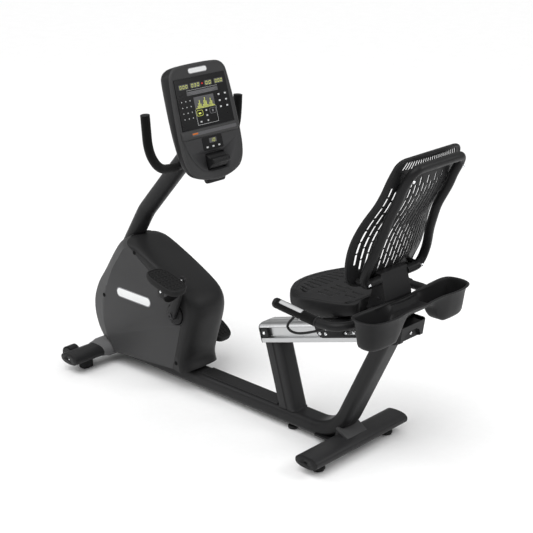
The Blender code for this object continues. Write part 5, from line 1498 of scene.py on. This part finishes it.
def handles():
    """Bent tube, foam grips with rounded caps and the bright sensor plates on their front parts."""
    half = vectors([(0.676, 0.0, 0.5888), (0.679, 0.1, 0.5895), (0.686, 0.16, 0.5905),
            (0.684, 0.198, 0.5905)])
    half += vectors([(0.667, 0.228, 0.589), (0.638, 0.246, 0.5865), (0.595, HANDLE_Y, 0.585)])
    half.append(Vector((0.575, HANDLE_Y, 0.5866)))
    left = [Vector((p.x, -p.y, p.z)) for p in half]
    line = curve_through(left[::-1] + half[1:], 6)
    tube = pipe(line, circle(0.0155, 40), circle(0.0135, 40), UPRIGHT)
    piece("handle_tube", tube, "frame_paint", "seat", ["seat_handles"])
    for side, word in SIDES:
        start = Vector((0.5744, side * HANDLE_Y, 0.5866))
        down = (Vector((0.3835, side * HANDLE_Y, 0.606)) - start).normalized()
        shapes = [(0.0005, 0.0158), (0.0012, 0.017), (0.003, 0.0176), (0.006, 0.0178),
                (0.174, 0.0178)]
        rings = []
        for along, radius in shapes:
            rings.append([start + down * along + p for p in square_ring(down, radius)])
        grip = piece(f"{word}_grip_foam", loft(rings), "foam", "seat", [f"{word}_seat_grip"],
                sharp=60.0)
        cap = [(0.0176, 0.1742), (0.0183, 0.175), (0.0183, 0.18), (0.0176, 0.185), (0.0155, 0.1885),
                (0.0115, 0.1908)]
        cap += [(0.005, 0.1919)]
        piece(f"{word}_grip_end", turned(cap, start, down, 48), "black_plastic", "seat", sharp=60.0)
        sensor_plate(word, start, down)
        ring = [(0.0172, 0.0), (0.0181, 0.001), (0.0181, 0.005), (0.0172, 0.006)]
        piece(f"{word}_grip_collar", turned(ring, start - down * 0.0052, down, 48), "black_plastic",
                "seat", sharp=50.0)


def square_ring(along, radius, first=0.0, last=360.0, count=48):
    """Points of a circle or of an arc square to a direction. Angle 0 is across and 90 is upward."""
    up = ACROSS.cross(along).normalized()
    if up.z < 0:
        up = -up
    full = last - first >= 360.0
    steps = count if full else count + 1
    found = []
    for i in range(steps):
        angle = math.radians(first + (last - first) * i / count)
        found.append((ACROSS * math.cos(angle) + up * math.sin(angle)) * radius)
    return found


def sensor_plate(word, start, down):
    """Curved bright plates over the upper and lower side of the grip, in a thin dark frame."""
    for place, first, last in (("top", 38.0, 142.0), ("under", 218.0, 322.0)):
        for kind, grow, low, high, finish in (("frame", 0.0003, 0.056, 0.164, "black_plastic"),
                ("plate", 0.0007, 0.06, 0.16, "chrome")):
            trim = 4.0 if kind == "plate" else 0.0
            rings = []
            for along, ease in ((low, 6.0), (low + 0.004, 1.5), (low + 0.01, 0.0),
                    (high - 0.01, 0.0), (high - 0.004, 1.5), (high, 6.0)):
                outer = square_ring(down, 0.0178 + grow, first + trim + ease, last - trim - ease,
                        24)
                inner = square_ring(down, 0.017, first + trim + ease, last - trim - ease, 24)
                rings.append([start + down * along + p for p in outer + inner[::-1]])
            piece(f"{word}_sensor_{kind}_{place}", loft(rings), finish, "seat", sharp=40.0)


def lever():
    """Bail under the left grip, with its barrel and pivot screw."""
    points = [(0.6, 0.563), (0.56, 0.543), (0.51, 0.521), (0.47, 0.508), (0.44, 0.507)]
    points += [(0.424, 0.517), (0.428, 0.533), (0.447, 0.556), (0.463, 0.575)]
    line = curve_through([Vector((x, LEVER_Y, z)) for x, z in points], 10)
    pivot = Vector((0.6, LEVER_Y, 0.563))
    barrel = [(0.0068, -0.008), (0.008, -0.007), (0.008, 0.007), (0.0068, 0.008)]
    parts = [rod(line, circle(0.0045, 24), ACROSS), turned(barrel, pivot, ACROSS, 32)]
    piece("lever_bail", join(parts), "black_plastic", "lever", ["seat_lever"])
    socket_screw("lever_screw", pivot - ACROSS * 0.008, (0, -1, 0), 0.005, "lever")
    knob = [(0.0046, 0.0), (0.006, 0.0012), (0.006, 0.0055), (0.004, 0.0078), (0.0012, 0.0082)]
    piece("lever_tip", turned(knob, line[-1], (line[-1] - line[-2]).normalized(), 28), "rubber",
            "lever")


def back_bolts():
    """Bolts through the sides of the back block, which is a CAD node."""
    for side, word in SIDES:
        at = Vector((0.69, side * 0.0701, 0.65))
        socket_screw(f"back_bolt_{word}", at, (0, side, 0), 0.0052, "seat", "dark_steel", 0.003)


def back_tube():
    """Loop up one side, over the top and down the other."""
    foot = vectors([(0.69, 0.0703, 0.713), (0.69, 0.1, 0.713), (0.6905, 0.13, 0.7145),
            (0.6915, 0.147, 0.724)])
    right = foot + vectors([
        (0.696, 0.157, 0.742), (0.705, 0.158, 0.768), (0.715, 0.154, 0.797), (0.734, 0.139, 0.856),
        (0.752, 0.132, 0.907), (0.768, 0.131, 0.952), (0.803, 0.134, 1.02), (0.822, 0.135, 1.065),
        (0.847, 0.131, 1.11), (0.859, 0.116, 1.13), (0.862, 0.09, 1.1345), (0.862, 0.0, 1.1345),
    ])
    left = [Vector((p.x, -p.y, p.z)) for p in right]
    line = curve_through(left + right[-2::-1], 7)
    tube = pipe(line, circle(TUBE_RADIUS, 40), circle(TUBE_RADIUS - 0.002, 40), Vector((1, 0, 0)))
    piece("back_loop", tube, "frame_paint", "seat", ["backrest_tube"])


# Rows of the backrest's edge from its foot up: x, z, half-width and dish.
SHELL_LINE = vectors([
    (0.655, 0.701, 0.125, 0.0), (0.642, 0.708, 0.158, 0.01), (0.64, 0.73, 0.179, 0.022),
    (0.65, 0.77, 0.196, 0.032), (0.661, 0.82, 0.203, 0.038), (0.674, 0.87, 0.199, 0.042),
    (0.695, 0.92, 0.19, 0.043), (0.722, 0.965, 0.184, 0.042), (0.75, 1.005, 0.181, 0.038),
    (0.776, 1.05, 0.181, 0.034), (0.796, 1.095, 0.179, 0.026), (0.811, 1.13, 0.172, 0.018),
    (0.817, 1.147, 0.163, 0.012), (0.8215, 1.1575, 0.146, 0.008), (0.8235, 1.1615, 0.125, 0.006),
])
SHELL_FINE = curve_through(SHELL_LINE, BACK_SAMPLES)


def shell_frame(level):
    """Row of SHELL_LINE at a height, and the backrest's backward direction there."""
    for index, (low, high) in enumerate(zip(SHELL_FINE, SHELL_FINE[1:])):
        if low.y <= level <= high.y and high.y > low.y and index > BACK_SAMPLES:
            t = (level - low.y) / (high.y - low.y)
            here = low.lerp(high, t)
            rise = Vector((high.x - low.x, 0, high.y - low.y)).normalized()
            return here, Vector((rise.z, 0, -rise.x))
    here = SHELL_FINE[-1]
    return here, Vector((1, 0, 0))


def on_shell(across, level):
    """Point of the backrest's rear face. across runs from -1 to 1."""
    here, back = shell_frame(level)
    return Vector((here.x, across * here.z,
            here.y)) + back * (here.w * (1 - abs(across) ** DISH_POWER) + SHELL_WALL)


def slot_tool(across, low, high, width, lean=0.0):
    """Vertical slot with round ends, pushed through the backrest along its own backward
    direction."""
    _, back = shell_frame((low + high) / 2)
    foot = on_shell(across, low)
    head = on_shell(across + lean, high)
    along = (head - foot).normalized()
    cross = along.cross(back).normalized()
    outline = pill(foot, head, along, cross, width / 2)
    square = cross.cross(along).normalized()
    return loft([[p + square * offset for p in outline] for offset in (-0.022, 0.022)])


def shell_slots():
    """Staggered columns of vents that narrow towards the top, and a row of slanted ones under the
    top edge."""
    tools = []
    for column in range(-8, 9):
        across = column * 0.108
        outer = abs(column) > 5
        low = (0.77 if outer else 0.752) + (0.0 if column % 2 else 0.022)
        while low < (1.05 if outer else 1.075):
            high = low + (0.0335 if low < 1.0 else 0.024)
            width = 0.009 if low < 0.9 else 0.0078
            tools.append(slot_tool(across, low, high, width))
            low += 0.044 if low < 1.0 else 0.034
    for step in range(-11, 12):
        tools.append(slot_tool(step * 0.072, 1.133, 1.1515, 0.0072, 0.03))
    return join(tools)


def backrest():
    """Dished moulded back, vented, with a thick rolled edge and the lugs that reach its tube."""
    sheets = []
    columns = 48
    for offset in (0.0, SHELL_WALL):
        rows = []
        for index, here in enumerate(SHELL_FINE):
            before = SHELL_FINE[max(index - 1, 0)]
            after = SHELL_FINE[min(index + 1, len(SHELL_FINE) - 1)]
            rise = Vector((after.x - before.x, 0, after.y - before.y)).normalized()
            back = Vector((rise.z, 0, -rise.x))
            line = []
            for column in range(columns + 1):
                u = 2 * column / columns - 1
                line.append(Vector((here.x, u * here.z, here.y))
                        + back * (here.w * (1 - abs(u) ** DISH_POWER) + offset))
            rows.append(line)
        sheets.append(rows)
    shell = loft([front + rear[::-1] for front, rear in zip(*sheets)])
    made = piece("back_shell", shell, "seat_plastic", "seat", ["backrest_shell"], sharp=50.0)
    carve(made, "back_vents", shell_slots())
    border = []
    for side in (-1, 1):
        run = [Vector((p.x, side * p.z, p.y)) for p in SHELL_FINE]
        border += run if side < 0 else run[::-1]
    top = SHELL_FINE[-1]
    across = [Vector((top.x, top.z * (2 * i / 16 - 1), top.y)) for i in range(1, 16)]
    half = len(border) // 2
    loop = border[:half] + across + border[half:]
    low = SHELL_FINE[0]
    loop += [Vector((low.x, low.z * (1 - 2 * i / 16), low.y)) for i in range(1, 16)]
    centre = Vector((0.0, 0.0, 0.93))
    rings = []
    for index, point in enumerate(loop):
        tangent = (loop[(index + 1) % len(loop)] - loop[index - 1]).normalized()
        outward = Vector((0, point.y, point.z - centre.z))
        outward = (outward - tangent * outward.dot(tangent)).normalized()
        square = tangent.cross(outward)
        rings.append([point + outward * (a - 0.0018) + square * b for a,
                b in rounded_rect(0.0105, 0.0115, 0.0046, 5)])
    piece("back_rim", loft(rings, cyclic=True), "seat_plastic", "seat", sharp=50.0)
    lugs = [((0.652, 0.722), (0.6745, 0.72), 0.14), ((0.812, 1.111), (0.83, 1.106), 0.132)]
    for number, (start, end, y) in enumerate(lugs):
        for side, word in SIDES:
            path = [Vector((x, side * y, z)) for x, z in (start, end)]
            piece(f"back_lug_{word}{number}", rod(path, circle(0.0085, 28), ACROSS), "seat_plastic",
                    "seat", bevel=0.001)
            ahead = (path[1] - path[0]).normalized()
            bolt = path[1] + ahead * (2 * TUBE_RADIUS + 0.0006)
            socket_screw(f"lug_bolt_{word}{number}", bolt, ahead, 0.0062, "seat", "chrome", 0.0036)


def deck_height(x):
    return 0.6035 + 0.336 * (x - 0.64)


BUCKET_RIM = 0.648


def bucket_rings(steps):
    """Rings round the tray from its rim to its floor. Each step is (inset, drop, share of the
    depth)."""
    half = vectors([
        (0.738, 0.0), (0.736, 0.1), (0.732, 0.15), (0.7285, 0.2), (0.729, 0.235), (0.737, 0.257),
        (0.758, 0.267), (0.79, 0.268), (0.815, 0.257), (0.828, 0.235), (0.835, 0.2), (0.835, 0.15),
        (0.8285, 0.1), (0.823, 0.0),
    ])
    outline = closed_round(half, 8)
    rings = []
    for inset, drop, share in steps:
        ring = []
        for x, y in (shrink(outline, inset) if inset else outline):
            rim = BUCKET_RIM - 0.006 * (1 - smooth_step(abs(y), 0.0, 0.1))
            depth = 0.0285 + 0.0775 * smooth_step(abs(y), 0.062, 0.136)
            ring.append(Vector((x, y, rim - drop - depth * share)))
        rings.append(ring)
    return rings


def bucket():
    """Moulded tray behind the seat: a deep rounded cup at each end, a shallow bridge and a rolled
    rim."""
    outside = [(-0.007, -0.0004, 0), (-0.0082, 0.0006, 0), (-0.0084, 0.002, 0),
            (-0.0074, 0.0032, 0), (-0.001, 0.0042, 0)]
    outside += [(0.001, 0.008, 0), (0.0058, 0, 0.3), (0.01, 0, 0.62), (0.0135, 0, 0.86),
            (0.0175, 0, 0.95)]
    outside += [(0.023, 0, 0.99), (0.03, 0, 1.0)]
    inside = [(0.0325, -0.0028, 1.0), (0.025, -0.0024, 0.985), (0.018, 0, 0.88), (0.0138, 0, 0.61),
            (0.009, 0, 0.28)]
    inside += [(0.004, 0.008, 0), (0.0024, 0.0016, 0), (-0.0005, -0.0006, 0), (-0.004, -0.0012, 0)]
    tray = hollow(bucket_rings(outside), bucket_rings(inside), rungs=True)
    piece("bucket_moulding", tray, "seat_plastic", "seat", ["bucket_tray"], sharp=50.0)
    rings = []
    for step in range(13):
        x = 0.6575 + 0.0835 * step / 12
        half = 0.086 + 0.06 * ((x - 0.6575) / 0.0835) ** 1.4
        up = deck_height(x) + 0.0105 * smooth_step(x, 0.722, 0.738)
        outline = rounded_rect(2 * half, 0.0042, 0.0018, 3)
        rings.append([Vector((x, a, up + b - 0.002)) for a, b in outline])
    deck = piece("bucket_deck", loft(rings), "seat_plastic", "seat", sharp=50.0)
    slot = [(0.692, -0.032), (0.713, -0.032), (0.713, 0.032), (0.692, 0.032)]
    carve(deck, "bucket_lug_slot", prism(slot, 0.59, 0.66, "z"))
    ledge = []
    for side in (-1, 1):
        line = [Vector((x, side * y, deck_height(x) + 0.0006)) for x,
                y in ((0.664, 0.08), (0.69, 0.091), (0.716, 0.104))]
        ledge.append(rod(curve_through(line, 6), circle(0.0016, 10), UPRIGHT))
    piece("bucket_beads", join(ledge), "seat_plastic", "seat")
    for side, word in SIDES:
        # Near-black discs under each cup stand for the drain holes: painted shade, not openings.
        drain = [(0.004, 0.0), (0.004, 0.0006), (0.002, 0.0008)]
        for number, x in enumerate((0.778, 0.8)):
            at = Vector((x, side * 0.205, BUCKET_RIM - 0.1064))
            piece(f"bucket_drain_shade_{word}{number}", turned(drain, at, -UPRIGHT, 20), "hole", "seat")


def rear_cover_details():
    """Screw in the arch of the rail's rear cap."""
    at = Vector((0.7722 + 0.0035, 0.0, 0.528))
    socket_screw("rear_cover_screw", at, (0.99, 0, -0.15), 0.0058, "frame", "steel", 0.003)


carriage_plate()
seat_box()
seat_pan()
handles()
lever()
back_bolts()
back_tube()
backrest()
bucket()
rear_cover_details()


# --- stage, camera and light --------------------------------------------------------------------


FLOOR_HALF = 45.0
FLOOR_Z = -0.0005


def floor():
    bm = bmesh.new()
    corners = ((-1, -1), (1, -1), (1, 1), (-1, 1))
    bm.faces.new([bm.verts.new((x * FLOOR_HALF, y * FLOOR_HALF, FLOOR_Z)) for x, y in corners])
    made = build("floor", bm, "hole")
    made.data.materials.clear()
    made.data.materials.append(surface("studio_floor", (0.96, 0.96, 0.96), 0.85, grain=40,
            depth=0.02, vary=0.01, speck=0.01))


def lamp(name, kind, place, target, strength, spread):
    data = bpy.data.lights.new(name, kind)
    data.energy = strength
    if kind == "SUN":
        data.angle = spread
    else:
        data.size = spread
    made = bpy.data.objects.new(name, data)
    made.location = place
    made.rotation_euler = (Vector(target) - Vector(place)).to_track_quat("-Z", "Y").to_euler()
    bpy.context.scene.collection.objects.link(made)


def studio():
    world = bpy.data.worlds.new("studio")
    world.use_nodes = True
    tree = world.node_tree
    background = tree.nodes["Background"]
    place = node(tree, "ShaderNodeTexCoord").outputs["Generated"]
    height = node(tree, "ShaderNodeSeparateXYZ")
    tree.links.new(place, height.inputs[0])
    glow = ranged(tree, height.outputs["Z"], -0.05, 0.95, 0.16, 1.35)
    tree.links.new(glow, background.inputs["Color"])
    background.inputs["Strength"].default_value = 0.58
    bpy.context.scene.world = world
    bpy.context.scene.view_settings.view_transform = "Standard"
    lamp("key", "SUN", (0.4, -2.6, 4.6), (0, 0, 0.6), 1.75, math.radians(50))
    lamp("front", "AREA", (-3.4, -2.2, 2.4), (-0.2, 0, 0.6), 30.0, 2.0)
    lamp("rear", "AREA", (2.8, 1.6, 2.6), (0.3, 0, 0.7), 34.0, 1.6)


AZIMUTH = math.radians(43.3003)
ELEVATION = math.radians(19.9193)
DISTANCE = 4.7458
LENS = 87.6
SENSOR = 36.0
TARGET = Vector((0.112, 0.0, 0.5998))


def camera():
    data = bpy.data.cameras.new("camera")
    data.sensor_width = SENSOR
    data.lens = LENS
    made = bpy.data.objects.new("camera", data)
    back = Vector((math.sin(AZIMUTH) * math.cos(ELEVATION),
            -math.cos(AZIMUTH) * math.cos(ELEVATION), math.sin(ELEVATION)))
    made.location = TARGET + DATUM + back * DISTANCE
    made.rotation_euler = (-back).to_track_quat("-Z", "Y").to_euler()
    bpy.context.scene.collection.objects.link(made)
    bpy.context.scene.camera = made


floor()
studio()
camera()
